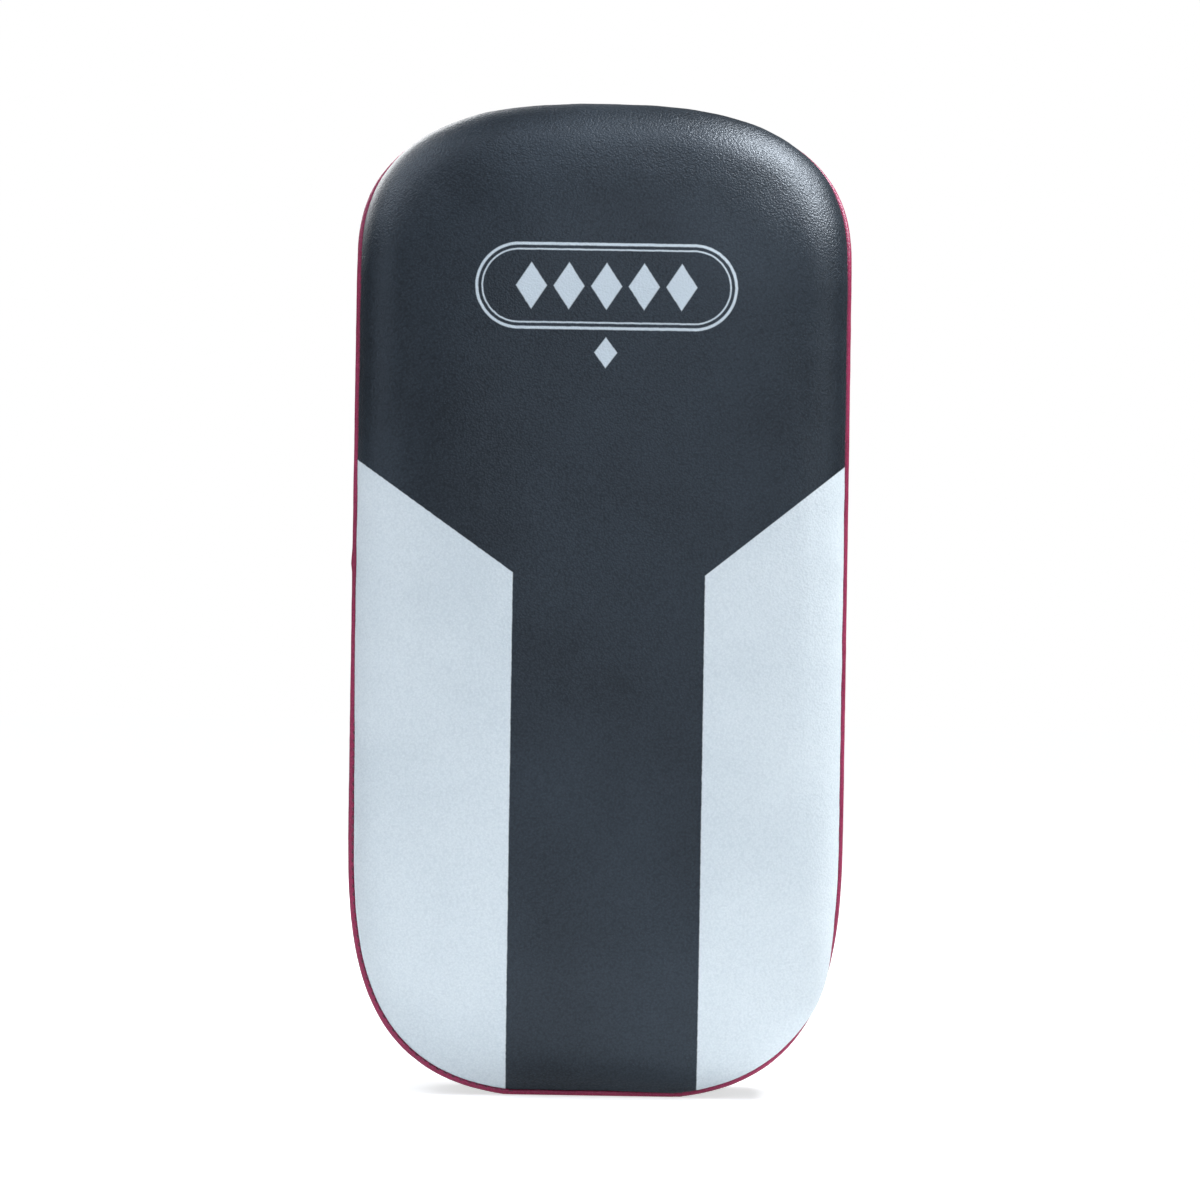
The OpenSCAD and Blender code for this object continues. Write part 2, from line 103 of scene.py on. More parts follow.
def smooth(t):
    t = np.clip(t, 0.0, 1.0)
    return t * t * (3.0 - 2.0 * t)


def half_outline(u, inset, drop):
    """The right half of the outline: u is 0-1 on the lower curve, 1-2 on the straight
    side and 2-3 on the upper curve."""
    low = np.radians(90.0 * np.clip(u, 0.0, 1.0))
    high = np.radians(90.0 * np.clip(u - 2.0, 0.0, 1.0))
    side = np.clip(u - 1.0, 0.0, 1.0)
    width = HALF_W - inset
    low_x = width * np.sin(low) ** (2 / BOTTOM_SQUARE)
    low_z = BOTTOM_MID - (BOTTOM_CAP - inset) * np.cos(low) ** (2 / BOTTOM_SQUARE)
    high_x = width * np.clip(np.cos(high), 0.0, 1.0) ** (2 / TOP_SQUARE)
    high_z = TOP_MID + (TOP_CAP - inset - drop) * np.sin(high) ** (2 / TOP_SQUARE)
    x = np.where(u < 1.0, low_x, np.where(u < 2.0, width, high_x))
    z = np.where(u < 1.0, np.maximum(low_z, inset),
                 np.where(u < 2.0, BOTTOM_MID + (TOP_MID - BOTTOM_MID) * side, high_z))
    return x, z


def even_steps():
    """Values of u that lie evenly along the right half of the outline."""
    u = np.linspace(0.0, 3.0, 6001)
    x, z = half_outline(u, 0.0, 0.0)
    run = np.concatenate([[0.0], np.cumsum(np.hypot(np.diff(x), np.diff(z)))])
    return np.interp(np.linspace(0.0, run[-1], AROUND // 2 + 1), run, u), run[-1]


HALF_U, HALF_LENGTH = even_steps()
OUTLINE_STEP = 2 * HALF_LENGTH / AROUND


def ring(inset, drop=0.0):
    """The whole outline moved inwards by inset, as x and z from the bottom middle."""
    if np.ndim(inset):
        inset = inset[:AROUND // 2 + 1]
    x, z = half_outline(HALF_U, inset, drop)
    return np.concatenate([x, -x[-2:0:-1]]), np.concatenate([z, z[-2:0:-1]])


BASE_X, BASE_Z = ring(0.0)


def crown(x, z):
    middle = BODY_H / 2
    return 3.0 * (x / HALF_W) ** 2 + 6.0 * ((z - middle) / middle) ** 2


def front_seam():
    x, z = ring(SEAM_IN)
    back = smooth((BASE_Z - (BODY_H - 80.0)) / 62.0)
    return FRONT_Y + crown(x, z) + 14.0 + 20.0 * back


SEAM_Y = front_seam()


# ---------------------------------------------------------------- making meshes
def only(piece):
    """Selects one piece and nothing else."""
    if bpy.context.object and bpy.context.object.mode != "OBJECT":
        bpy.ops.object.mode_set(mode="OBJECT")
    bpy.ops.object.select_all(action="DESELECT")
    piece.select_set(True)
    bpy.context.view_layer.objects.active = piece


def facing_out(piece):
    only(piece)
    bpy.ops.object.mode_set(mode="EDIT")
    bpy.ops.mesh.select_all(action="SELECT")
    bpy.ops.mesh.remove_doubles(threshold=2e-6)
    bpy.ops.mesh.normals_make_consistent(inside=False)
    bpy.ops.object.mode_set(mode="OBJECT")
    return piece


def laid_out(name, rows, closed=False, uvs=None):
    """A flat grid, bent so that its points lie in rows of places in mm. A closed grid
    is rolled up and its two ends are joined. uvs gives each point's place in mm."""
    rows = np.array(rows, float)
    if closed:
        rows = np.concatenate([rows, rows[:, :1]], axis=1)
    bpy.ops.object.select_all(action="DESELECT")
    bpy.ops.mesh.primitive_grid_add(x_subdivisions=rows.shape[1] - 1,
                                    y_subdivisions=rows.shape[0] - 1, size=0.1)
    piece = bpy.context.object
    piece.name = piece.data.name = name
    settle(piece)
    move_to(piece, rows.reshape(-1, 3) * MM)
    if uvs is not None:
        corners = np.empty(len(piece.data.loops), int)
        piece.data.loops.foreach_get("vertex_index", corners)
        places = np.array(uvs, float).reshape(-1, 2)[corners] * MM
        piece.data.uv_layers[0].data.foreach_set("uv", places.ravel())
    return facing_out(piece)


def apply(piece, kind, **settings):
    """Adds a modifier to a piece and applies it."""
    only(piece)
    modifier = piece.modifiers.new(kind.title(), kind)
    for key, value in settings.items():
        setattr(modifier, key, value)
    bpy.ops.object.modifier_apply(modifier=modifier.name)


def soften(piece, angle=60.0):
    only(piece)
    bpy.ops.object.shade_smooth_by_angle(angle=math.radians(angle))


def settle(piece):
    """Puts the piece's object at the origin, with its place in its mesh."""
    only(piece)
    bpy.ops.object.transform_apply(location=True, rotation=True, scale=True)


def coordinates(piece):
    out = np.empty(len(piece.data.vertices) * 3)
    piece.data.vertices.foreach_get("co", out)
    return out.reshape(-1, 3)


def move_to(piece, places):
    piece.data.vertices.foreach_set("co", np.ascontiguousarray(places).ravel())
    piece.data.update()


def normals(piece):
    out = np.empty(len(piece.data.vertices) * 3)
    piece.data.vertices.foreach_get("normal", out)
    return out.reshape(-1, 3)


def wander(places, size, seed):
    """Smooth noise from -1 to 1 at points in mm, with features of about size mm."""
    shift = Vector((seed * 17.3, seed * 5.1, seed * 9.7))
    return np.array([noise.noise(Vector(p) / size + shift) for p in places])


def ring_row(inset, y, drop=0.0):
    """One row of points on the cover. y is a number, or one number for each point."""
    x, z = ring(inset, drop)
    return np.stack([x, np.broadcast_to(y, x.shape), z], axis=1)


# ---------------------------------------------------------------- stuffed pieces
REMESH_VOXEL = 4.0
DRAWN_IN = 0.8           # room left for a cushion to swell
SWELL_STEPS = 20


def stuffed(name, node):
    """A closed pad from a copy of a CAD solid: remeshed evenly, and drawn in a little, so
    that it has room to swell."""
    piece = frame["nodes"][node].copy()
    piece.data = piece.data.copy()
    piece.parent = None
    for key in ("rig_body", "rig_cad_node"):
        if key in piece:
            del piece[key]
    scene.collection.objects.link(piece)
    piece.name = piece.data.name = name
    only(piece)
    bpy.ops.object.mode_set(mode="EDIT")
    bpy.ops.mesh.select_all(action="SELECT")
    bpy.ops.mesh.remove_doubles(threshold=1e-6)
    bpy.ops.object.mode_set(mode="OBJECT")
    bpy.ops.mesh.customdata_custom_splitnormals_clear()
    apply(piece, "REMESH", mode="VOXEL", voxel_size=REMESH_VOXEL * MM)
    apply(piece, "SMOOTH", factor=0.5, iterations=4)
    move_to(piece, coordinates(piece) - normals(piece) * DRAWN_IN * MM)
    piece.data.materials.clear()
    return piece


def relaxed(piece, values, rounds):
    """Evens out a value per point over the mesh, so that no crease is left in it."""
    ends = np.empty(len(piece.data.edges) * 2, int)
    piece.data.edges.foreach_get("vertices", ends)
    a, b = ends.reshape(-1, 2).T
    count = len(values)
    degree = np.bincount(a, minlength=count) + np.bincount(b, minlength=count)
    for _ in range(rounds):
        near = (np.bincount(a, values[b], count) + np.bincount(b, values[a], count))
        values = 0.5 * values + 0.5 * near / np.maximum(degree, 1)
    return values


def evened(places, values, reach):
    """Evens out a value over the face: averages on a grid of 4 mm cells in XZ, blurred
    over about reach mm and read back between the cells. places are in mm."""
    cell = 4.0
    low = np.array([-112.0, -12.0])
    spots = (places[:, [0, 2]] - low) / cell
    shape = (56, 108)
    index = np.clip(spots.round().astype(int), 0, np.array(shape) - 1)
    flat = index[:, 0] * shape[1] + index[:, 1]
    counts = np.bincount(flat, minlength=shape[0] * shape[1])
    sums = np.bincount(flat, values, minlength=shape[0] * shape[1])
    known = (counts > 0).astype(float).reshape(shape)
    field = (sums / np.maximum(counts, 1)).reshape(shape)
    taps = np.arange(-9, 10)
    kernel = np.exp(-0.5 * (taps * cell / reach) ** 2)
    for axis in (0, 1):
        field = np.apply_along_axis(np.convolve, axis, field, kernel, "same")
        known = np.apply_along_axis(np.convolve, axis, known, kernel, "same")
    field = field / np.maximum(known, 1e-9)
    base = np.clip(np.floor(spots).astype(int), 0, np.array(shape) - 2)
    part = np.clip(spots - base, 0.0, 1.0)
    i, j = base.T
    u, v = part.T
    return ((field[i, j] * (1 - u) + field[i + 1, j] * u) * (1 - v)
            + (field[i, j + 1] * (1 - u) + field[i + 1, j + 1] * u) * v)


def fill_out(piece, sewn, cap, slack=0.0, dent=0.2, reach=0.0):
    """Lets cloth under pressure swell a pad. Sewn points stay, and no point moves by
    more than its cap, in mm. slack is spare cloth, as a share; dent is the share that is
    kept of a move inwards; reach is how far the swelling is evened out, in mm."""
    before = coordinates(piece)
    group = piece.vertex_groups.new(name="sewn")
    group.add([int(i) for i in np.nonzero(sewn)[0]], 1.0, "REPLACE")
    cloth = piece.modifiers.new("Cloth", "CLOTH")
    cloth.settings.quality = 4
    cloth.settings.mass = 0.3
    cloth.settings.tension_stiffness = 15.0
    cloth.settings.compression_stiffness = 15.0
    cloth.settings.vertex_group_mass = "sewn"
    cloth.settings.shrink_min = -slack
    cloth.settings.use_pressure = True
    cloth.settings.uniform_pressure_force = 4.0
    cloth.settings.effector_weights.gravity = 0.0
    cloth.collision_settings.use_collision = False
    cloth.point_cache.frame_start = 1
    cloth.point_cache.frame_end = SWELL_STEPS
    for number in range(1, SWELL_STEPS + 1):
        scene.frame_set(number)
    shown = piece.evaluated_get(bpy.context.evaluated_depsgraph_get())
    after = np.empty(len(shown.data.vertices) * 3)
    shown.data.vertices.foreach_get("co", after)
    move = after.reshape(-1, 3) - before
    piece.modifiers.remove(cloth)
    scene.frame_set(1)
    piece.vertex_groups.remove(group)
    out = normals(piece)
    swell = (move * out).sum(axis=1)
    if reach:
        free = ~sewn
        swell[free] = evened(before[free] / MM, swell[free], reach)
    else:
        swell = relaxed(piece, np.where(sewn, 0.0, swell), 4)
    swell[sewn] = 0.0
    allowed = np.broadcast_to(cap, swell.shape) * MM
    print(f"{piece.name}: swelled by up to {swell.max() / MM:.1f} mm before its cap")
    swell = np.where(swell > 0, allowed * np.tanh(swell / allowed), dent * swell)
    move_to(piece, before + out * np.maximum(swell, -0.4 * allowed)[:, None])


def seam_place(places):
    """For points in mm: the nearest outline point, how far ahead of the front seam each
    lies, and how far it is in from the outline."""
    flat = places[:, [0, 2]]
    nearest = np.empty(len(flat), int)
    base = np.stack([BASE_X, BASE_Z], axis=1)
    for start in range(0, len(flat), 4000):
        part = flat[start:start + 4000]
        gap = ((part[:, None, :] - base[None]) ** 2).sum(axis=2)
        nearest[start:start + 4000] = gap.argmin(axis=1)
    inset = np.linalg.norm(flat - base[nearest], axis=1)
    return nearest, SEAM_Y[nearest] - places[:, 1], inset


# ---------------------------------------------------------------- stitches
def stitch_template():
    """One stitch along X: a thread of unit length whose ends dive into the leather."""
    bpy.ops.mesh.primitive_uv_sphere_add(segments=6, ring_count=6, radius=0.5)
    seed = bpy.context.object
    only(seed)
    bpy.ops.transform.rotate(value=math.pi / 2, orient_axis="Y",
                             center_override=(0, 0, 0))
    settle(seed)
    points = coordinates(seed)
    faces = [tuple(f.vertices) for f in seed.data.polygons]
    bpy.data.objects.remove(seed)
    return points, faces


STITCH_POINTS, STITCH_FACES = stitch_template()


def stitches(name, places, along, out, length=2.6, radius=0.42):
    """A row of stitches at places, each along its line, a little sunk in the leather."""
    points, faces = [], []
    for place, line, normal in zip(places, along, out):
        line = Vector(line).normalized()
        normal = Vector(normal)
        side = line.cross(normal).normalized()
        up = side.cross(line)
        first = len(points)
        for x, y, z in STITCH_POINTS:
            bow = 1.0 - (2 * x) ** 2
            points.append(Vector(place) + line * (x * length)
                          + side * (y * 2 * radius)
                          + up * (z * 2 * radius + (bow - 0.55) * radius * 0.8))
        faces += [tuple(first + i for i in f) for f in STITCH_FACES]
    mesh = bpy.data.meshes.new(name)
    mesh.from_pydata([p * MM for p in points], [], faces)
    piece = bpy.data.objects.new(name, mesh)
    scene.collection.objects.link(piece)
    soften(piece, 180.0)
    return piece


def row_on_line(line, pitch, start=0.0, end=0.0, closed=False):
    """Even places and directions along a line of points in mm."""
    line = np.array(line, float)
    if closed:
        line = np.vstack([line, line[:1]])
    run = np.concatenate([[0.0],
                          np.cumsum(np.linalg.norm(np.diff(line, axis=0), axis=1))])
    count = max(2, int((run[-1] - start - end) / pitch))
    at = start + (np.arange(count) + 0.5) * (run[-1] - start - end) / count
    places = np.stack([np.interp(at, run, line[:, k]) for k in range(3)], axis=1)
    ahead = np.stack([np.interp(np.minimum(at + 0.8, run[-1]), run, line[:, k])
                      for k in range(3)], axis=1)
    behind = np.stack([np.interp(np.maximum(at - 0.8, 0.0), run, line[:, k])
                       for k in range(3)], axis=1)
    return places, ahead - behind


def sewn_on(name, piece, line, pitch=3.6, closed=False, aim=None, **size):
    """Stitches along a line, laid on the surface of a piece. aim is the direction in
    which the line is thrown at the surface, or None for the nearest point."""
    places, along = row_on_line(line, pitch, closed=closed)
    tree = BVHTree.FromObject(piece, bpy.context.evaluated_depsgraph_get())
    found, lines, outs = [], [], []
    for place, direction in zip(places, along):
        if aim is None:
            hit, normal, _, _ = tree.find_nearest(Vector(place) * MM)
        else:
            start = Vector(place) * MM - Vector(aim) * 0.05
            hit, normal, _, _ = tree.ray_cast(start, Vector(aim))
        if hit is None:
            continue
        found.append(hit / MM)
        lines.append(direction)
        outs.append(normal)
    return stitches(name, found, lines, outs, **size)


def rounded_line(width, height, corner, x, z, y, steps=6):
    """A closed rounded rectangle in the XZ plane about (x, z)."""
    line = []
    for quarter, (sx, sz) in enumerate([(1, 1), (-1, 1), (-1, -1), (1, -1)]):
        for k in range(steps + 1):
            a = math.radians(90 * quarter + 90 * k / steps)
            line.append((x + sx * (width / 2 - corner) + corner * math.cos(a), y,
                         z + sz * (height / 2 - corner) + corner * math.sin(a)))
    return line


# ---------------------------------------------------------------- materials
def colour(code):
    """An sRGB hex colour as linear RGBA."""
    parts = [int(code[i:i + 2], 16) / 255 for i in (1, 3, 5)]
    return (*[c / 12.92 if c <= 0.04045 else ((c + 0.055) / 1.055) ** 2.4
              for c in parts], 1.0)


def add(tree, kind, values=None, **settings):
    """Adds a node. values holds its inputs: a socket is linked, a node is linked by its
    first output, and anything else is set."""
    made = tree.nodes.new(kind)
    for key, value in settings.items():
        setattr(made, key, value)
    for key, value in (values or {}).items():
        if isinstance(value, bpy.types.Node):
            value = value.outputs[0]
        if isinstance(value, bpy.types.NodeSocket):
            tree.links.new(value, made.inputs[key])
        else:
            made.inputs[key].default_value = value
    return made


def start_material(name):
    """A new material with only its output and shader."""
    material = bpy.data.materials.new(name)
    material.use_nodes = True
    tree = material.node_tree
    tree.nodes.clear()
    output = tree.nodes.new("ShaderNodeOutputMaterial")
    shader = tree.nodes.new("ShaderNodeBsdfPrincipled")
    tree.links.new(shader.outputs[0], output.inputs[0])
    return material, tree, shader


def leather_grain(tree, places, pebble_mm, depth_mm, strength):
    """Embossed pebbles with finer pores between them, as a normal."""
    scale = 1000.0 / pebble_mm
    warp = add(tree, "ShaderNodeTexNoise", {"Vector": places, "Scale": scale * 0.45,
                                            "Detail": 2.0}).outputs["Color"]
    bent = add(tree, "ShaderNodeMix", {0: 0.0009 * pebble_mm / 1.2, 6: places, 7: warp},
               data_type="RGBA", blend_type="ADD").outputs[2]
    cells = add(tree, "ShaderNodeTexVoronoi", {"Vector": bent, "Scale": scale},
                feature="SMOOTH_F1").outputs["Distance"]
    pores = add(tree, "ShaderNodeTexNoise", {"Vector": places, "Scale": scale * 1.6,
                                             "Detail": 3.0}).outputs["Fac"]
    height = add(tree, "ShaderNodeMath", {0: pores, 1: 0.7, 2: cells},
                 operation="MULTIPLY_ADD").outputs[0]
    bump = add(tree, "ShaderNodeBump", {"Height": height, "Strength": strength,
                                        "Distance": depth_mm * MM}, invert=True)
    return bump, height


def mottle_and_painted_grain_shading(tree, places, broad, height):
    """How light a spot of leather is, 0 to 1: broad patches of uneven tone, and a painted
    highlight on the pebbles with painted shade in the valleys between them. The painted
    pebbles are drawn a little stronger than life, so that they show."""
    patches = add(tree, "ShaderNodeTexNoise", {"Vector": places, "Scale": broad,
                                               "Detail": 4.0}).outputs["Fac"]
    even = add(tree, "ShaderNodeMapRange", {0: patches, 1: 0.3, 2: 0.75, 3: 0.2,
                                            4: 0.8}).outputs[0]
    # Painted highlight on the pebbles' tops and painted shade in their valleys, from the
    # grain's height.
    fine = add(tree, "ShaderNodeMapRange", {0: height, 1: 0.35, 2: 1.05, 3: 0.35,
                                            4: -0.35}).outputs[0]
    return patches, add(tree, "ShaderNodeMath", {0: even, 1: fine}, operation="ADD",
                        use_clamp=True).outputs[0]


def embossed_leather(name, code, worn_and_highlight_code, roughness, pebble_mm=1.2, strength=0.35):
    """PVC-coated artificial leather, embossed with a fine pebble: a satin skin whose
    raised pebbles catch the light, with a painted highlight on the pebbles and painted
    shade between them, and whose colour is a little uneven."""
    material, tree, shader = start_material(name)
    places = add(tree, "ShaderNodeTexCoord").outputs["Object"]
    grain, height = leather_grain(tree, places, pebble_mm, 0.3, strength)
    patches, share = mottle_and_painted_grain_shading(tree, places, 22.0, height)
    # The lighter colour is both uneven wear and the painted highlight on the pebbles; the
    # darker one is also their painted shade.
    tone = add(tree, "ShaderNodeMix", {0: share, 6: colour(code), 7: colour(worn_and_highlight_code)},
               data_type="RGBA")
    tree.links.new(tone.outputs[2], shader.inputs["Base Color"])
    gloss = add(tree, "ShaderNodeMapRange", {0: patches, 1: 0.3, 2: 0.7,
                                             3: roughness - 0.05, 4: roughness + 0.07})
    tree.links.new(gloss.outputs[0], shader.inputs["Roughness"])
    tree.links.new(grain.outputs[0], shader.inputs["Normal"])
    shader.inputs["IOR"].default_value = 1.46
    shader.inputs["Specular Tint"].default_value = colour("#d9e8f8")
    return material


# The printed pattern on the strike face, in mm.
FRAME_X, FRAME_Z = 1.0, 324.0
FRAME_STRAIGHT = 70.0    # between the centres of the frame's round ends
DIAMOND_PITCH = 15.0
ROW_HALF = 37.0
LOW_DIAMOND_Z = 297.5
PRINT_BACK_Y = -60.0     # the frame is printed ahead of this
LINE_CRISPNESS, DIAMOND_CRISPNESS = 2.5, 2.0    # how fast an edge turns, per mm


def printed_sides(tree, x, z):
    """The white, 1 where it lies: left and right of a stem, under two arms that rise
    to the sides. x and z are in mm."""
    sides = []
    for out, edge, shoulder, slope in [(-1.0, 34.6, 209.5, 0.70),
                                       (1.0, 42.0, 209.3, 0.80)]:
        outwards = add(tree, "ShaderNodeMath", {0: x, 1: out}, operation="MULTIPLY")
        beyond = add(tree, "ShaderNodeMath", {0: outwards, 1: edge},
                     operation="SUBTRACT")
        arm = add(tree, "ShaderNodeMath", {0: beyond, 1: slope, 2: shoulder},
                  operation="MULTIPLY_ADD")
        under = add(tree, "ShaderNodeMath", {0: arm, 1: z}, operation="SUBTRACT")
        inside = add(tree, "ShaderNodeMath", {0: beyond, 1: under}, operation="MINIMUM")
        sides.append(add(tree, "ShaderNodeMath", {0: inside, 1: LINE_CRISPNESS, 2: 0.5},
                         operation="MULTIPLY_ADD", use_clamp=True))
    return add(tree, "ShaderNodeMath", {0: sides[0], 1: sides[1]}, operation="MAXIMUM")


def printed_frame(tree, x, z):
    """A generic mark, 1 where it is printed: two outlines with round ends, a row of five
    diamonds in them and one diamond below. x and z are in mm."""
    from_x = add(tree, "ShaderNodeMath", {0: x, 1: FRAME_X}, operation="SUBTRACT")
    from_z = add(tree, "ShaderNodeMath", {0: z, 1: FRAME_Z}, operation="SUBTRACT")
    across = add(tree, "ShaderNodeMath", {0: from_x}, operation="ABSOLUTE")
    height = add(tree, "ShaderNodeMath", {0: from_z}, operation="ABSOLUTE")

    # How far a spot is from the stretch between the centres of the two round ends.
    over = add(tree, "ShaderNodeMath", {0: across, 1: FRAME_STRAIGHT / 2},
               operation="SUBTRACT")
    past = add(tree, "ShaderNodeMath", {0: over, 1: 0.0}, operation="MAXIMUM")
    up_squared = add(tree, "ShaderNodeMath", {0: height, 1: height},
                     operation="MULTIPLY")
    squared = add(tree, "ShaderNodeMath", {0: past, 1: past, 2: up_squared},
                  operation="MULTIPLY_ADD")
    reach = add(tree, "ShaderNodeMath", {0: squared}, operation="SQRT")
    marks = []
    for radius, half_line in [(16.8, 0.55), (14.6, 0.3)]:
        off = add(tree, "ShaderNodeMath", {0: reach, 1: radius}, operation="SUBTRACT")
        away = add(tree, "ShaderNodeMath", {0: off}, operation="ABSOLUTE")
        left = add(tree, "ShaderNodeMath", {0: half_line, 1: away}, operation="SUBTRACT")
        marks.append(add(tree, "ShaderNodeMath", {0: left, 1: LINE_CRISPNESS, 2: 0.5},
                         operation="MULTIPLY_ADD", use_clamp=True))

    # The row repeats every pitch, and is cut off past the fifth diamond.
    half_pitch = DIAMOND_PITCH / 2
    shifted = add(tree, "ShaderNodeMath", {0: from_x, 1: half_pitch}, operation="ADD")
    column = add(tree, "ShaderNodeMath", {0: shifted, 1: half_pitch},
                 operation="PINGPONG")
    aside = add(tree, "ShaderNodeMath", {0: half_pitch, 1: column}, operation="SUBTRACT")
    in_row = add(tree, "ShaderNodeMath", {0: across, 1: ROW_HALF}, operation="LESS_THAN")
    from_low = add(tree, "ShaderNodeMath", {0: z, 1: LOW_DIAMOND_Z},
                   operation="SUBTRACT")
    above_low = add(tree, "ShaderNodeMath", {0: from_low}, operation="ABSOLUTE")
    for up, side, lean, half, share in [(height, aside, 0.66, 6.2, in_row),
                                        (above_low, across, 0.75, 4.6, 1.0)]:
        slant = add(tree, "ShaderNodeMath", {0: up, 1: lean, 2: side},
                    operation="MULTIPLY_ADD")
        left = add(tree, "ShaderNodeMath", {0: half, 1: slant}, operation="SUBTRACT")
        diamond = add(tree, "ShaderNodeMath", {0: left, 1: DIAMOND_CRISPNESS, 2: 0.5},
                      operation="MULTIPLY_ADD", use_clamp=True)
        marks.append(add(tree, "ShaderNodeMath", {0: diamond, 1: share},
                         operation="MULTIPLY"))
    ink = marks[0]
    for mark in marks[1:]:
        ink = add(tree, "ShaderNodeMath", {0: ink, 1: mark}, operation="MAXIMUM")
    return ink


def printed_leather():
    """The strike panel's leather: one white skin screen printed in black, so that the
    black stands over the white with no seam, and a pale frame printed over the black."""
    material, tree, shader = start_material("printed_pvc_leather")
    places = add(tree, "ShaderNodeTexCoord").outputs["Object"]
    axes = add(tree, "ShaderNodeSeparateXYZ", {0: places}).outputs
    ragged = add(tree, "ShaderNodeTexNoise", {"Vector": places, "Scale": 420.0,
                                              "Detail": 2.0}).outputs["Fac"]
    # Ink creeps into the grain, so that a printed edge wavers by up to 0.15 mm.
    creep = add(tree, "ShaderNodeMath", {0: ragged, 1: 0.5}, operation="SUBTRACT")
    x_mm = add(tree, "ShaderNodeMath", {0: axes[0], 1: 1 / MM}, operation="MULTIPLY")
    z_mm = add(tree, "ShaderNodeMath", {0: axes[2], 1: 1 / MM}, operation="MULTIPLY")
    x = add(tree, "ShaderNodeMath", {0: creep, 1: 0.3, 2: x_mm},
            operation="MULTIPLY_ADD")
    z = add(tree, "ShaderNodeMath", {0: creep, 1: 0.3, 2: z_mm},
            operation="MULTIPLY_ADD")
    white = printed_sides(tree, x, z).outputs[0]
    frame_ink = printed_frame(tree, x, z)
    front = add(tree, "ShaderNodeMath", {0: axes[1], 1: PRINT_BACK_Y * MM},
                operation="LESS_THAN")
    ink = add(tree, "ShaderNodeMath", {0: frame_ink, 1: front},
              operation="MULTIPLY").outputs[0]

    grain, height = leather_grain(tree, places, 0.8, 0.22, 0.7)
    patches, share = mottle_and_painted_grain_shading(tree, places, 16.0, height)
    # Both the black and the white take a painted highlight on the pebbles and painted
    # shade in their valleys.
    black = add(tree, "ShaderNodeMix", {0: share, 6: colour("#0f1318"),
                                        7: colour("#272f37")}, data_type="RGBA")
    pale = add(tree, "ShaderNodeMix", {0: share, 6: colour("#bdc7cd"),
                                       7: colour("#d2dade")}, data_type="RGBA")
    skin = add(tree, "ShaderNodeMix", {0: white, 6: black.outputs[2],
                                       7: pale.outputs[2]}, data_type="RGBA")
    printed = add(tree, "ShaderNodeMix", {0: ink, 6: skin.outputs[2],
                                          7: colour("#bcc7cf")}, data_type="RGBA")
    tree.links.new(printed.outputs[2], shader.inputs["Base Color"])
    rough = add(tree, "ShaderNodeMapRange", {0: patches, 1: 0.3, 2: 0.7, 3: 0.36,
                                             4: 0.44})
    tree.links.new(rough.outputs[0], shader.inputs["Roughness"])
    edge = add(tree, "ShaderNodeBump", {"Height": ink, "Strength": 0.5,
                                        "Distance": 0.00008,
                                        "Normal": grain.outputs[0]})
    tree.links.new(edge.outputs[0], shader.inputs["Normal"])
    shader.inputs["IOR"].default_value = 1.46
    shader.inputs["Specular Tint"].default_value = colour("#d9e8f8")
    return material


def woven_tape(name, code, light_code, rib_mm):
    """Polyester webbing: warp threads in a herringbone, so that each rib shows as a
    slanted grain, painted lighter on its crest and darker between ribs, as painted
    highlight and painted shade. The ribs are drawn at their true pitch."""
    material, tree, shader = start_material(name)
    uv = add(tree, "ShaderNodeUVMap", uv_map="UVMap").outputs[0]
    axes = add(tree, "ShaderNodeSeparateXYZ", {0: uv}).outputs
    turn = 2 * math.pi / (rib_mm * MM)
    # The herringbone turns over every six ribs across the tape.
    fold = add(tree, "ShaderNodeMath", {0: axes[1], 1: 3 * rib_mm * MM},
               operation="PINGPONG").outputs[0]
    slant = add(tree, "ShaderNodeMath", {0: axes[0], 1: fold}, operation="ADD").outputs[0]
    warp = add(tree, "ShaderNodeMath", {0: slant, 1: turn}, operation="MULTIPLY")
    weft = add(tree, "ShaderNodeMath", {0: axes[1], 1: turn}, operation="MULTIPLY")
    a = add(tree, "ShaderNodeMath", {0: warp.outputs[0]}, operation="SINE").outputs[0]
    b = add(tree, "ShaderNodeMath", {0: weft.outputs[0]}, operation="SINE").outputs[0]
    both = add(tree, "ShaderNodeMath", {0: b, 1: 0.5, 2: a}, operation="MULTIPLY_ADD")
    fuzz = add(tree, "ShaderNodeTexNoise", {"Vector": uv, "Scale": 1800.0,
                                            "Detail": 2.0}).outputs["Fac"]
    height = add(tree, "ShaderNodeMath", {0: fuzz, 1: 0.8, 2: both.outputs[0]},
                 operation="MULTIPLY_ADD").outputs[0]
    # Painted highlight on the raised threads and painted shade between them, with uneven
    # fuzz.
    share = add(tree, "ShaderNodeMapRange", {0: height, 1: -1.0, 2: 1.9}).outputs[0]
    tone = add(tree, "ShaderNodeMix", {0: share, 6: colour(code),
                                       7: colour(light_code)}, data_type="RGBA")
    tree.links.new(tone.outputs[2], shader.inputs["Base Color"])
    bump = add(tree, "ShaderNodeBump", {"Height": height, "Strength": 0.6,
                                        "Distance": 0.00015})
    tree.links.new(bump.outputs[0], shader.inputs["Normal"])
    shader.inputs["Roughness"].default_value = 0.72
    shader.inputs["Sheen Weight"].default_value = 0.15
    return material


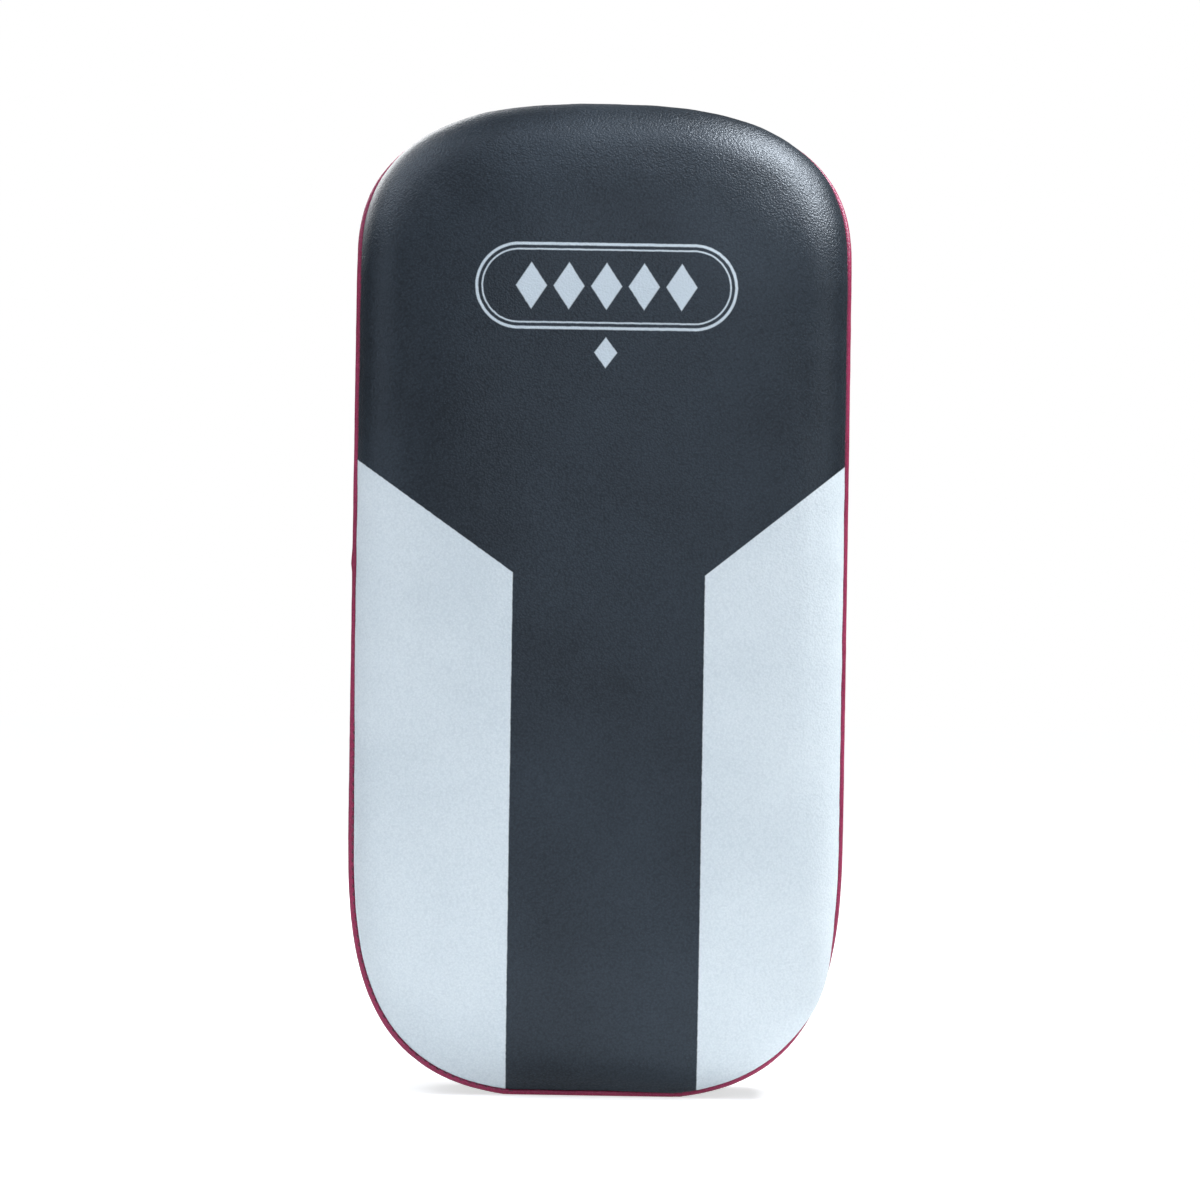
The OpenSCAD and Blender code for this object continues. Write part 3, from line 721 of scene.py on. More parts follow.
def napped_tape(name, code, light_code, tuft_mm, depth):
    """Hook or loop tape: nylon tufts that scatter the light, with a painted highlight on
    each tuft and painted shade between them.
    """
    material, tree, shader = start_material(name)
    places = add(tree, "ShaderNodeTexCoord").outputs["Object"]
    tufts = add(tree, "ShaderNodeTexVoronoi", {"Vector": places,
                                               "Scale": 1000.0 / tuft_mm})
    fuzz = add(tree, "ShaderNodeTexNoise", {"Vector": places, "Scale": 2600.0,
                                            "Detail": 3.0}).outputs["Fac"]
    height = add(tree, "ShaderNodeMath", {0: tufts.outputs["Distance"], 1: -1.2,
                                          2: fuzz}, operation="MULTIPLY_ADD").outputs[0]
    # Painted highlight on the tufts and painted shade between them, from their height.
    share = add(tree, "ShaderNodeMapRange", {0: height, 1: -0.6, 2: 0.7}).outputs[0]
    tone = add(tree, "ShaderNodeMix", {0: share, 6: colour(code),
                                       7: colour(light_code)}, data_type="RGBA")
    tree.links.new(tone.outputs[2], shader.inputs["Base Color"])
    bump = add(tree, "ShaderNodeBump", {"Height": height, "Strength": 0.9,
                                        "Distance": depth * MM})
    tree.links.new(bump.outputs[0], shader.inputs["Normal"])
    shader.inputs["Roughness"].default_value = 0.85
    shader.inputs["Sheen Weight"].default_value = 0.3
    return material


def plated_steel():
    """Steel wire and rivets, bright nickel plated: a mirror with a faint tumbled haze
    and hairline scratches from use."""
    material, tree, shader = start_material("nickel_plated_steel")
    places = add(tree, "ShaderNodeTexCoord").outputs["Object"]
    haze = add(tree, "ShaderNodeTexNoise", {"Vector": places, "Scale": 240.0,
                                            "Detail": 5.0}).outputs["Fac"]
    rough = add(tree, "ShaderNodeMapRange", {0: haze, 1: 0.3, 2: 0.7, 3: 0.14, 4: 0.3})
    tone = add(tree, "ShaderNodeMix", {0: haze, 6: colour("#b9b9b6"),
                                       7: colour("#dcdcd8")}, data_type="RGBA")
    stretch = add(tree, "ShaderNodeMapping", {0: places, 3: (900.0, 5200.0, 300.0)})
    scratch = add(tree, "ShaderNodeTexNoise", {"Vector": stretch.outputs[0],
                                               "Scale": 1.0}).outputs["Fac"]
    bump = add(tree, "ShaderNodeBump", {"Height": scratch, "Strength": 0.08,
                                        "Distance": 0.00005})
    tree.links.new(tone.outputs[2], shader.inputs["Base Color"])
    tree.links.new(rough.outputs[0], shader.inputs["Roughness"])
    tree.links.new(bump.outputs[0], shader.inputs["Normal"])
    shader.inputs["Metallic"].default_value = 1.0
    return material


def cut_foam(name, code, light_code, cell_mm):
    """Closed-cell foam cut from a sheet: matte, with fine open cells on the cut, each
    painted darker in its middle as painted shade.
    """
    material, tree, shader = start_material(name)
    places = add(tree, "ShaderNodeTexCoord").outputs["Object"]
    cells = add(tree, "ShaderNodeTexVoronoi", {"Vector": places,
                                               "Scale": 1000.0 / cell_mm})
    # The pores are painted darker as painted shade, and the cell walls lighter.
    tone = add(tree, "ShaderNodeMix", {0: cells.outputs["Distance"], 6: colour(code),
                                       7: colour(light_code)}, data_type="RGBA")
    bump = add(tree, "ShaderNodeBump", {"Height": cells.outputs["Distance"],
                                        "Strength": 0.4, "Distance": 0.0002})
    tree.links.new(tone.outputs[2], shader.inputs["Base Color"])
    tree.links.new(bump.outputs[0], shader.inputs["Normal"])
    shader.inputs["Roughness"].default_value = 0.9
    return material


def sewing_thread(name, code, light_code):
    """Bonded nylon thread: two plies twisted every 0.8 mm, with a slight shine, each ply
    painted lighter on its crest and darker in the groove, as painted highlight and
    painted shade.
    """
    material, tree, shader = start_material(name)
    places = add(tree, "ShaderNodeTexCoord").outputs["Object"]
    twist = add(tree, "ShaderNodeTexWave", {"Vector": places, "Scale": 400.0,
                                            "Distortion": 1.5},
                bands_direction="DIAGONAL").outputs["Fac"]
    # Painted highlight on the plies' crests and painted shade in the grooves.
    tone = add(tree, "ShaderNodeMix", {0: twist, 6: colour(code),
                                       7: colour(light_code)}, data_type="RGBA")
    bump = add(tree, "ShaderNodeBump", {"Height": twist, "Strength": 0.4,
                                        "Distance": 0.0001})
    tree.links.new(tone.outputs[2], shader.inputs["Base Color"])
    tree.links.new(bump.outputs[0], shader.inputs["Normal"])
    shader.inputs["Roughness"].default_value = 0.5
    return material


BLACK_LEATHER = embossed_leather("black_pvc_leather", "#0f1216", "#23292f", 0.42,
                                 strength=0.75)
STRAP_LEATHER = embossed_leather("strap_pvc_leather", "#0e1115", "#23282d", 0.40, 0.9,
                                 0.65)
CRIMSON_LEATHER = embossed_leather("crimson_piping_leather", "#7a1839", "#a02f57",
                                   0.4, 0.7, 0.4)
PRINTED_LEATHER = printed_leather()
WEBBING = woven_tape("polyester_webbing", "#07090c", "#252b33", 1.3)
LOOP_TAPE = napped_tape("nylon_loop_tape", "#040608", "#2a3038", 1.1, 0.5)
HOOK_TAPE = napped_tape("nylon_hook_tape", "#030404", "#25282c", 1.6, 0.6)
LINING_CLOTH = woven_tape("tricot_lining", "#202328", "#3c4148", 1.6)
NICKEL = plated_steel()
DENSE_FOAM = cut_foam("eva_foam", "#24272b", "#34383d", 0.9)
SOFT_FOAM = cut_foam("polyethylene_foam", "#2f3337", "#45494e", 1.2)
LEATHERBOARD = embossed_leather("leatherboard", "#6d5138", "#86694b", 0.7, 1.6, 0.2)
BLACK_THREAD = sewing_thread("black_nylon_thread", "#0b0c0e", "#3b3f45")
CRIMSON_THREAD = sewing_thread("crimson_nylon_thread", "#3d1626", "#7c3550")


def dress(piece, material, body="pad", replaces=()):
    """Gives a finished piece its material and its body, and hides the CAD parts that it
    replaces.
    """
    piece.data.materials.clear()
    piece.data.materials.append(material)
    if body:
        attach(piece, body)
    if replaces:
        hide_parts(*replaces)
    return piece


# ---------------------------------------------------------------- camera
CAMERA_LENS = 200.0
VIEW_WIDTH = 0.4815      # what the frame spans at the pad's widest section
ROLL = math.radians(-0.9)


def make_camera():
    middle = Vector((0.0003, (FRONT_Y + 18.0) * MM, 0.1990))
    distance = VIEW_WIDTH / 2 / math.tan(math.atan(18.0 / CAMERA_LENS))
    data = bpy.data.cameras.new("camera")
    data.lens = CAMERA_LENS
    data.sensor_width = 36.0
    data.clip_end = 60.0
    camera = bpy.data.objects.new("camera", data)
    scene.collection.objects.link(camera)
    camera.location = middle + Vector((0.0, -distance, 0.0))
    camera.rotation_euler = (math.pi / 2, ROLL, 0.0)
    scene.camera = camera


make_camera()


# ---------------------------------------------------------------- strike panel
def towards_middle(x, z, share):
    """Points drawn in towards the pad's middle line."""
    middle = np.clip(z, BOTTOM_CAP * 0.55, BODY_H - TOP_CAP * 0.9)
    return x * share, middle + (z - middle) * share


def strike_pad():
    """The stuffed front. Its skin leaves the seam in a valley behind the piping, rolls
    over the foam's edge and lies crowned over the face; cloth under pressure then
    swells it between its sewn edges."""
    up = smooth((BASE_Z - (BODY_H - 80.0)) / 62.0)
    down = smooth((70.0 - BASE_Z) / 60.0)
    roll = 14.0 + 20.0 * up
    reach = 24.0 + 26.0 * np.maximum(up, down)
    rows = []
    x, z = ring(SEAM_IN, SEAM_DROP)
    for share in np.linspace(0.0, 0.96, 9):
        back_x, back_z = towards_middle(x, z, share)
        rows.append(np.stack([back_x, SEAM_Y + 2.5, back_z], axis=1))
    for inset, ahead, drop in [(3.1, 0.0, 4.0), (2.75, 0.75, 4.0), (2.4, 1.5, 3.4),
                               (1.7, 2.2, 2.2), (1.2, 2.8, 1.4)]:
        rows.append(ring_row(inset, SEAM_Y - ahead, drop))
    for angle in np.linspace(16.0, 90.0, 14):
        a = math.radians(angle)
        x, z = ring(1.0 + reach * (1 - math.cos(a)))
        y = FRONT_Y + crown(x, z) + roll * (1 - math.sin(a))
        rows.append(np.stack([x, y, z], axis=1))
    rim_x, rim_z = x, z
    for share in np.linspace(0.95, 0.0, 20):
        x, z = towards_middle(rim_x, rim_z, share)
        rows.append(np.stack([x, FRONT_Y + crown(x, z), z], axis=1))
    piece = laid_out("strike_pad", rows, closed=True)
    places = coordinates(piece) / MM
    _, ahead, inset = seam_place(places)
    # The hidden back of the pad stays as it is, and takes no part in the evening out.
    hidden = normals(piece)[:, 1] > 0.1
    cap = 0.15 + 3.2 * smooth((inset - 5.0) / 42.0)
    fill_out(piece, (ahead < 1.4) | hidden, cap, dent=0.1, reach=12.0)
    shape = coordinates(piece) / MM
    face = (ahead > 4.0) & ~hidden
    depth = shape[:, 1] - crown(shape[:, 0], shape[:, 2])
    soft = evened(shape[face], depth[face], 7.0) - depth[face]
    shape[face, 1] += soft * smooth((inset[face] - 14.0) / 14.0)
    move_to(piece, shape * MM)
    apply(piece, "SUBSURF", levels=1, render_levels=1)
    places = coordinates(piece) / MM
    nearest, ahead, _ = seam_place(places)
    out = normals(piece)
    run = nearest * OUTLINE_STEP
    drawn = np.exp(-((ahead - 6.0) / 6.0) ** 2) * smooth((ahead - 1.0) / 2.5)
    pleats = wander(np.stack([run, ahead * 0.3, 0 * run], axis=1), 10.0, 1)
    slow = wander(places * [1.0, 0.3, 0.6], 36.0, 2)
    lift = 0.32 * drawn * pleats + 0.3 * slow * smooth((ahead - 2.0) / 8.0)
    # On the lower right the stuffing stands out over the piping.
    edge = np.exp(-((ahead - 5.0) / 4.5) ** 2) * smooth((ahead - 0.8) / 2.0)
    lift += (2.6 * np.exp(-((places[:, 2] - 42.0) / 19.0) ** 2)
             * smooth((places[:, 0] - 50.0) / 20.0) * edge)
    # On the lower left and below, the piping shows all along its width.
    lift -= 1.0 * smooth((190.0 - places[:, 2]) / 90.0) * edge * smooth(
        (40.0 - places[:, 0]) / 40.0)
    move_to(piece, (places + out * lift[:, None]) * MM)
    soften(piece, 75.0)
    dress(piece, PRINTED_LEATHER, "pad", ["strike_panel"])


# ---------------------------------------------------------------- piping
def piping_line(seam_y, drop):
    x, z = ring(PIPING_R - 0.3, drop)
    return np.stack([x, np.broadcast_to(seam_y, x.shape), z], axis=1)


def piping(name, node, seam_y, drop):
    """A cord in a folded strip of leather. The fold leaves a flat lip that is sewn in
    between the panels, and the strip puckers a little where it goes round a curve."""
    line = piping_line(seam_y, drop)
    x, z = ring(PIPING_R + 3.0, drop)
    inner = np.stack([x, np.broadcast_to(seam_y, x.shape), z], axis=1)
    section = [(0.0, 1.0), (0.5, 0.86), (0.86, 0.5), (1.0, 0.0), (0.86, -0.5),
               (0.5, -0.86), (0.0, -1.0), (-0.5, -0.86), (-0.95, -0.5), (-2.4, -0.24),
               (-2.4, 0.24), (-0.95, 0.5), (-0.5, 0.86)]
    pucker = wander([(i * OUTLINE_STEP, 0.0, drop) for i in range(AROUND)], 5.0, 3)
    # The strip's two ends overlap half way up the left side.
    pucker += 5.0 * (line[:, 0] < 0) * np.exp(-((line[:, 2] - 213.0) / 2.6) ** 2)
    out = line - inner
    out /= np.linalg.norm(out, axis=1)[:, None]
    rings = np.zeros((AROUND, len(section), 3))
    for k, (across, deep) in enumerate(section):
        # The lip, sewn in between the panels, has no puckers.
        radius = PIPING_R * (1.0 + 0.06 * pucker * (across > -1.0))
        rings[:, k] = line + out * (across * radius)[:, None]
        rings[:, k, 1] += deep * radius
    rings[:, :, 2] = np.maximum(rings[:, :, 2], 0.0)
    rows = rings.transpose(1, 0, 2)
    piece = laid_out(name, np.concatenate([rows, rows[:1]]), closed=True)
    soften(piece, 60.0)
    dress(piece, CRIMSON_LEATHER, "pad", [node])


def piping_stitches(name, seam_y, drop, side):
    """Stitches at the foot of the piping, on the panel's side of it."""
    x, z = ring(PIPING_R + 0.05, drop)
    line = np.stack([x, np.broadcast_to(seam_y, x.shape) + side * 1.46, z], axis=1)
    line = np.vstack([line, line[:1]])
    places, along = row_on_line(line, 3.4)
    keep = places[:, 2] > 1.6
    out = np.zeros_like(places)
    out[:, 1] = side
    middle = np.stack([places[:, 0], places[:, 2] - BODY_H / 2], axis=1)
    out[:, 0] = 0.6 * middle[:, 0] / np.linalg.norm(middle, axis=1)
    out[:, 2] = 0.6 * middle[:, 1] / np.linalg.norm(middle, axis=1)
    piece = stitches(name, places[keep], along[keep], out[keep], length=1.8,
                     radius=0.34)
    dress(piece, CRIMSON_THREAD, "pad")


# ---------------------------------------------------------------- gusset and back
def puckered(piece, seams, depth, reach, seed):
    """Small pleats that run away from a sewn edge. seams gives, for points in mm, how
    far each lies from the edge and its run along the edge."""
    places = coordinates(piece) / MM
    away, run = seams(places)
    pleats = wander([(r, a * 0.3, 0.0) for r, a in zip(run, away)], 9.0, seed)
    slow = wander(places, 45.0, seed + 1)
    lift = depth * (pleats - 0.6) * np.exp(-(away / reach) ** 2) + 0.3 * (slow - 0.5)
    lift *= smooth((places[:, 2] - 2.0) / 12.0)
    for hole_z in EYELET_ZS:
        off = np.hypot(places[:, 1] - EYELET_Y, places[:, 2] - hole_z)
        near = np.exp(-(off / 12.0) ** 4) * (np.abs(places[:, 0]) > HALF_W - 4.0)
        lift = lift * (1.0 - near)
    move_to(piece, (places + normals(piece) * lift[:, None]) * MM)


def gusset():
    """The black band round the sides. Its two edges are turned in and sewn to the
    piping, and between them it bellies out a little, away from its four eyelets."""
    edge = [(SEAM_IN, 0.0), (2.7, 0.9), (1.9, 1.8), (1.1, 2.7), (0.5, 3.8), (0.15, 5.2),
            (0.0, 7.5)]
    low = smooth((BASE_Z - 8.0) / 50.0)
    rows = [ring_row(inset, SEAM_Y + y, SEAM_DROP) for inset, y in edge]
    for k in range(1, 15):
        along = k / 15.0
        y = (SEAM_Y + 7.5) + (BACK_SEAM_Y - 7.5 - SEAM_Y - 7.5) * along
        drop = SEAM_DROP + (BACK_DROP - SEAM_DROP) * along
        row = ring_row(0.0, y, drop)
        belly = 0.9 * math.sin(math.pi * along) - 0.5
        flat = ring_row(-1.0, y, drop) - row
        amount = belly * low
        for hole_z in EYELET_ZS:
            off = np.hypot(row[:, 1] - EYELET_Y, row[:, 2] - hole_z)
            amount = amount * (1.0 - np.exp(-(off / 14.0) ** 4))
        rows.append(row + flat * amount[:, None])
    rows += [ring_row(inset, BACK_SEAM_Y - y, BACK_DROP) for inset, y in edge[::-1]]
    piece = laid_out("gusset", rows, closed=True)

    def seams(places):
        nearest, ahead, _ = seam_place(places)
        return np.minimum(-ahead, BACK_SEAM_Y - places[:, 1]), nearest * OUTLINE_STEP

    puckered(piece, seams, 0.5, 9.0, 4)
    apply(piece, "SOLIDIFY", thickness=1.4 * MM, offset=-1.0)
    for side in (-1, 1):
        for hole_z in EYELET_ZS:
            bpy.ops.mesh.primitive_cylinder_add(
                vertices=32, radius=2.9 * MM, depth=0.03,
                location=(side * HALF_W * MM, EYELET_Y * MM, hole_z * MM),
                rotation=(0.0, math.pi / 2, 0.0))
            punch = bpy.context.object
            apply(piece, "BOOLEAN", operation="DIFFERENCE", solver="EXACT",
                  object=punch)
            bpy.data.objects.remove(punch)
    soften(piece, 70.0)
    dress(piece, BLACK_LEATHER, "pad", ["side_gusset"])


def back_cover():
    """The back panel: rolled over the edge of the foam, then flat over the board."""
    rows = [ring_row(inset, BACK_SEAM_Y + y, BACK_DROP)
            for inset, y in [(SEAM_IN, 0.0), (2.7, 0.9), (2.0, 1.8), (1.45, 2.7)]]
    for angle in (38, 48, 58, 68, 79, 90):
        a = math.radians(angle)
        rows.append(ring_row(1.2 + 8.0 * (1 - math.cos(a)),
                             BACK_Y - 6.0 * (1 - math.sin(a)), BACK_DROP))
    rim = rows[-1]
    for share in np.linspace(0.95, 0.0, 20):
        x, z = towards_middle(rim[:, 0], rim[:, 2], share)
        rows.append(np.stack([x, rim[:, 1], z], axis=1))
    piece = laid_out("back_cover", rows, closed=True)

    def seams(places):
        nearest, _, inset = seam_place(places)
        return inset, nearest * OUTLINE_STEP

    puckered(piece, seams, 0.45, 10.0, 7)
    apply(piece, "SOLIDIFY", thickness=1.4 * MM, offset=-1.0)
    soften(piece, 70.0)
    dress(piece, BLACK_LEATHER, "pad", ["back_panel"])


# ---------------------------------------------------------------- cushions
def cushion(name, node, channels, cap):
    """A sewn cushion: crowned, with its sides drawn in, and sewn channels across it."""
    low, high = node_box(node)
    piece = stuffed(name, node)
    places = coordinates(piece) / MM
    fill_out(piece, places[:, 1] < low[1] + 2.5, cap, slack=0.01)
    apply(piece, "SUBSURF", levels=1, render_levels=1)
    places = coordinates(piece) / MM
    height = smooth((places[:, 1] - low[1] - 4.0) / 5.0)
    sink = np.zeros(len(places))
    for x in channels:
        sink += 3.2 * np.exp(-((places[:, 0] - x) / 3.2) ** 2)
    fade = smooth((places[:, 2] - low[2] - 2) / 16) * smooth((high[2] - places[:, 2] - 2)
                                                            / 16)
    places[:, 1] -= sink * height * fade
    places[:, 1] += 0.3 * wander(places, 22.0, 9) * height
    places[:, 1] = np.maximum(places[:, 1], low[1] + 0.02)
    move_to(piece, places * MM)
    soften(piece, 75.0)
    dress(piece, BLACK_LEATHER, "pad", [node])
    for index, x in enumerate(channels):
        line = [(x, high[1], low[2] + 12 + k) for k in range(int(high[2] - low[2] - 24))]
        row = sewn_on(f"{name}_channel_{index}", piece, line, 3.8, aim=(0, -1, 0))
        dress(row, BLACK_THREAD, "pad")


def flange(name, node, margin, corner):
    """The flat leather edge by which a cushion is sewn to the back panel."""
    low, high = node_box(node)
    x, z = (low[0] + high[0]) / 2, (low[2] + high[2]) / 2
    width, height = high[0] - low[0] + 2 * margin, high[2] - low[2] + 2 * margin
    piece = leather_patch(name, width, height, corner, x, z, low[1] - 0.08, 1.1)
    dress(piece, BLACK_LEATHER, "pad")
    line = rounded_line(width - 4.4, height - 4.4, corner - 2.2, x, z, high[1])
    row = sewn_on(f"{name}_stitches", piece, line, 3.8, closed=True, aim=(0, -1, 0))
    dress(row, BLACK_THREAD, "pad")


def leather_patch(name, width, height, corner, x, z, y, thickness):
    """A flat leather patch with round corners and a soft skived edge."""
    bpy.ops.object.select_all(action="DESELECT")
    bpy.ops.mesh.primitive_plane_add(size=1.0, location=(x * MM, y * MM, z * MM),
                                     rotation=(-math.pi / 2, 0.0, 0.0))
    piece = bpy.context.object
    piece.name = piece.data.name = name
    piece.scale = (width * MM, height * MM, 1.0)
    settle(piece)
    bpy.ops.object.mode_set(mode="EDIT")
    bpy.ops.mesh.select_all(action="SELECT")
    bpy.ops.mesh.bevel(offset=corner * MM, segments=8, affect="VERTICES",
                       clamp_overlap=False)
    bpy.ops.mesh.select_all(action="SELECT")
    bpy.ops.mesh.extrude_region_move(
        TRANSFORM_OT_translate={"value": (0.0, thickness * MM, 0.0)})
    bpy.ops.mesh.select_all(action="SELECT")
    bpy.ops.mesh.normals_make_consistent(inside=False)
    bpy.ops.object.mode_set(mode="OBJECT")
    apply(piece, "BEVEL", width=thickness * 0.42 * MM, segments=3, limit_method="ANGLE",
          angle_limit=math.radians(50))
    soften(piece, 40.0)
    return piece


# ---------------------------------------------------------------- bands
def bezier(p, steps):
    p = [np.array(q, float) for q in p]
    t = np.linspace(0.0, 1.0, steps + 1)[:, None]
    u = 1.0 - t
    return u ** 3 * p[0] + 3 * u * u * t * p[1] + 3 * u * t * t * p[2] + t ** 3 * p[3]


def arc(centre, radius, first, last, steps):
    a = np.radians(np.linspace(first, last, steps + 1))
    return np.array(centre) + radius * np.stack([np.cos(a), np.sin(a)], axis=1)


def chain(*parts):
    """Joins stretches of line into one, without doubled points."""
    out = [parts[0][0]]
    for part in parts:
        for p in part:
            if np.linalg.norm(np.array(p) - out[-1]) > 1e-6:
                out.append(np.array(p, float))
    return np.array(out, float)


def even_line(line, step):
    """The same line with its points evenly spaced."""
    line = np.array(line, float)
    run = np.concatenate([[0.0],
                          np.cumsum(np.linalg.norm(np.diff(line, axis=0), axis=1))])
    at = np.linspace(0.0, run[-1], max(3, int(round(run[-1] / step))) + 1)
    return np.stack([np.interp(at, run, line[:, k]) for k in range(2)], axis=1)


def left_of(line):
    ahead = np.vstack([line[1:], line[-1:]])
    behind = np.vstack([line[:1], line[:-1]])
    d = ahead - behind
    d /= np.linalg.norm(d, axis=1)[:, None]
    return np.stack([-d[:, 1], d[:, 0]], axis=1)


def band(name, line, z, width, thickness, crown=0.0, seam=3.6, seed=0):
    """A strap: a flat strip of cloth or leather, laid along a line in the XY plane and
    given its thickness. width is a number, or a function of the distance from the
    line's start and its length. The strip is thinner along its two rows of stitches
    and at its edges, and with a crown it is fuller in the middle."""
    run = np.concatenate([[0.0],
                          np.cumsum(np.linalg.norm(np.diff(line, axis=0), axis=1))])
    full = np.array([width(r, run[-1]) if callable(width) else width for r in run])
    half = full.max() / 2
    from_edge = [0.0, seam * 0.4, seam * 0.75, seam, seam * 1.25, seam * 1.8]
    outer = [1 - e / half for e in from_edge]
    shares = outer[:0:-1] + [outer[0]]
    shares = np.array([-s for s in shares[::-1]]
                      + list(np.linspace(-outer[-1], outer[-1], 9)[1:-1]) + shares)
    weights = np.ones(len(shares)) - crown * shares ** 2
    for k, s in enumerate(shares):
        weights[k] -= 0.22 * math.exp(-(((1 - abs(s)) * half - seam) / 0.6) ** 2)
        weights[k] -= 0.12 * (abs(s) > 0.999)
    sway = 0.25 * wander([(r, 0.0, z) for r in run], 40.0, 11 + seed)
    rows, uvs = [], []
    for i, centre in enumerate(line):
        rows.append([(centre[0], centre[1], z + s * full[i] / 2 + sway[i])
                     for s in shares])
        uvs.append([(run[i], s * full[i] / 2) for s in shares])
    piece = laid_out(name, rows, uvs=uvs)
    group = piece.vertex_groups.new(name="thickness")
    for k, weight in enumerate(weights):
        group.add(list(range(k, len(piece.data.vertices), len(shares))),
                  float(weight), "REPLACE")
    apply(piece, "SOLIDIFY", thickness=thickness * MM, offset=0.0,
          vertex_group="thickness")
    apply(piece, "BEVEL", width=thickness * 0.34 * MM, segments=3,
          limit_method="ANGLE", angle_limit=math.radians(55))
    piece.vertex_groups.clear()
    soften(piece, 50.0)
    return piece


def edge_stitches(name, line, z, width, thickness, face, margin=3.6, pitch=3.8,
                  first=4.0, last=4.0):
    """Two rows of stitches along a band's edges, on its left (1) or right (-1) face."""
    side = left_of(line)
    run = np.concatenate([[0.0],
                          np.cumsum(np.linalg.norm(np.diff(line, axis=0), axis=1))])
    places, along, out = [], [], []
    for edge in (-1, 1):
        rail = []
        for i, (c, n) in enumerate(zip(line, side)):
            if first <= run[i] <= run[-1] - last:
                full = width(run[i], run[-1]) if callable(width) else width
                half = max(full / 2 - margin, 0.0)
                t = face * (thickness * 0.39 + 0.02)
                rail.append((c[0] + n[0] * t, c[1] + n[1] * t, z + edge * half))
        p, a = row_on_line(rail, pitch)
        for place, direction in zip(p, a):
            at = np.argmin(np.linalg.norm(line - place[:2], axis=1))
            places.append(place)
            along.append(direction)
            out.append((side[at][0] * face, side[at][1] * face, 0.0))
    return stitches(name, places, along, out)


def box_stitches(name, x, y, z, width, height, crossed=False, out=(0, 1, 0)):
    """A sewn box on the end of a strap, with or without a cross in it."""
    w, h = width / 2, height / 2
    corners = [(-w, -h), (w, -h), (w, h), (-w, h)]
    legs = [(corners[k], corners[(k + 1) % 4]) for k in range(4)]
    if crossed:
        legs += [(corners[0], corners[2]), (corners[1], corners[3])]
    places, along = [], []
    for (ax, az), (bx, bz) in legs:
        p, a = row_on_line([(x + ax, y, z + az), (x + bx, y, z + bz)], 3.4)
        places += list(p)
        along += list(a)
    return stitches(name, places, along, [out] * len(places), length=2.4)


# ---------------------------------------------------------------- grip
GRIP_Z = 320.0
GRIP_Y = BACK_Y + 60.0
GRIP_R = 15.5
GRIP_LEN = 92.0
PATCH_T = 1.2
WEBBING_T = 2.8
WEBBING_Y = BACK_Y + 0.2 + PATCH_T + WEBBING_T / 2


def handle_line():
    inner = -GRIP_LEN / 2
    rise = bezier([(-68, WEBBING_Y), (-50, WEBBING_Y), (inner - 14, GRIP_Y),
                   (inner - 1, GRIP_Y)], 40)
    half = chain([(-90.0, WEBBING_Y)], rise)
    return even_line(chain(half, [(-p[0], p[1]) for p in half[::-1]]), 2.0)


def handle_width(run, length):
    """Flat at both ends, and folded narrower where it enters the grip."""
    edge = min(run, length - run)
    return 34.0 - 12.0 * float(smooth((edge - 24.0) / 60.0))


def grip():
    line = handle_line()
    piece = band("handle_strap", line, GRIP_Z, handle_width, WEBBING_T)
    dress(piece, WEBBING, "pad", ["handle_webbing"])
    for end, x in (("left", -80.0), ("right", 80.0)):
        row = box_stitches(f"handle_box_{end}", x, WEBBING_Y + WEBBING_T / 2 - 0.05,
                           GRIP_Z, 15.0, 27.0, crossed=True)
        dress(row, BLACK_THREAD, "pad")

    # The cover: a leather tube, fuller in the middle and drawn in under its collars.
    around, steps = 72, 48
    rows = []
    for k in range(steps + 1):
        share = k / steps
        x = -GRIP_LEN / 2 + GRIP_LEN * share
        belly = 0.9 * math.sin(math.pi * share) ** 0.7
        pinch = 0.8 * (math.exp(-((share - 0.1) / 0.03) ** 2)
                       + math.exp(-((share - 0.9) / 0.03) ** 2))
        row = []
        for s in range(around):
            a = 2 * math.pi * s / around
            crease = 0.18 * noise.noise(Vector((x / 7, math.cos(a) * 2.4,
                                                math.sin(a) * 2.4)))
            seam = 0.5 * math.exp(-((s - around * 0.25) / 1.0) ** 2)
            radius = GRIP_R - 0.6 + belly - pinch + crease - seam
            row.append((x, GRIP_Y + radius * math.cos(a),
                        GRIP_Z - radius * math.sin(a)))
        rows.append(row)
    piece = laid_out("grip_cover", rows, closed=True)
    apply(piece, "SOLIDIFY", thickness=1.1 * MM, offset=-1.0)
    soften(piece, 60.0)
    dress(piece, BLACK_LEATHER, "pad", ["handle_cover"])
    seam_z = GRIP_Z - GRIP_R - 0.2
    for index, dy in enumerate((-2.4, 2.4)):
        line = [(x, GRIP_Y + dy, seam_z) for x in range(-36, 37)]
        row = sewn_on(f"grip_stitches_{index}", piece, line, 3.6, aim=(0, 0, 1))
        dress(row, BLACK_THREAD, "pad")

    # Collars: a turn of webbing sewn round each end of the cover.
    section = [(-4.0, -0.5), (-3.7, 0.35), (-3.0, 0.8), (0.0, 0.95), (3.0, 0.8),
               (3.7, 0.35), (4.0, -0.5), (0.0, -0.55)]
    for end, side in (("left", -1), ("right", 1)):
        rows, uvs = [], []
        for dx, dr in section + section[:1]:
            radius = GRIP_R + 0.25 + dr
            turns = [2 * math.pi * s / around for s in range(around + 1)]
            rows.append([(side * (GRIP_LEN / 2 - 4) + dx, GRIP_Y + radius * math.cos(a),
                          GRIP_Z + radius * math.sin(a)) for a in turns[:-1]])
            uvs.append([(radius * a, dx) for a in turns])
        piece = laid_out(f"grip_collar_{end}", rows, closed=True, uvs=uvs)
        soften(piece, 50.0)
        dress(piece, WEBBING, "pad", ["handle_collars"])


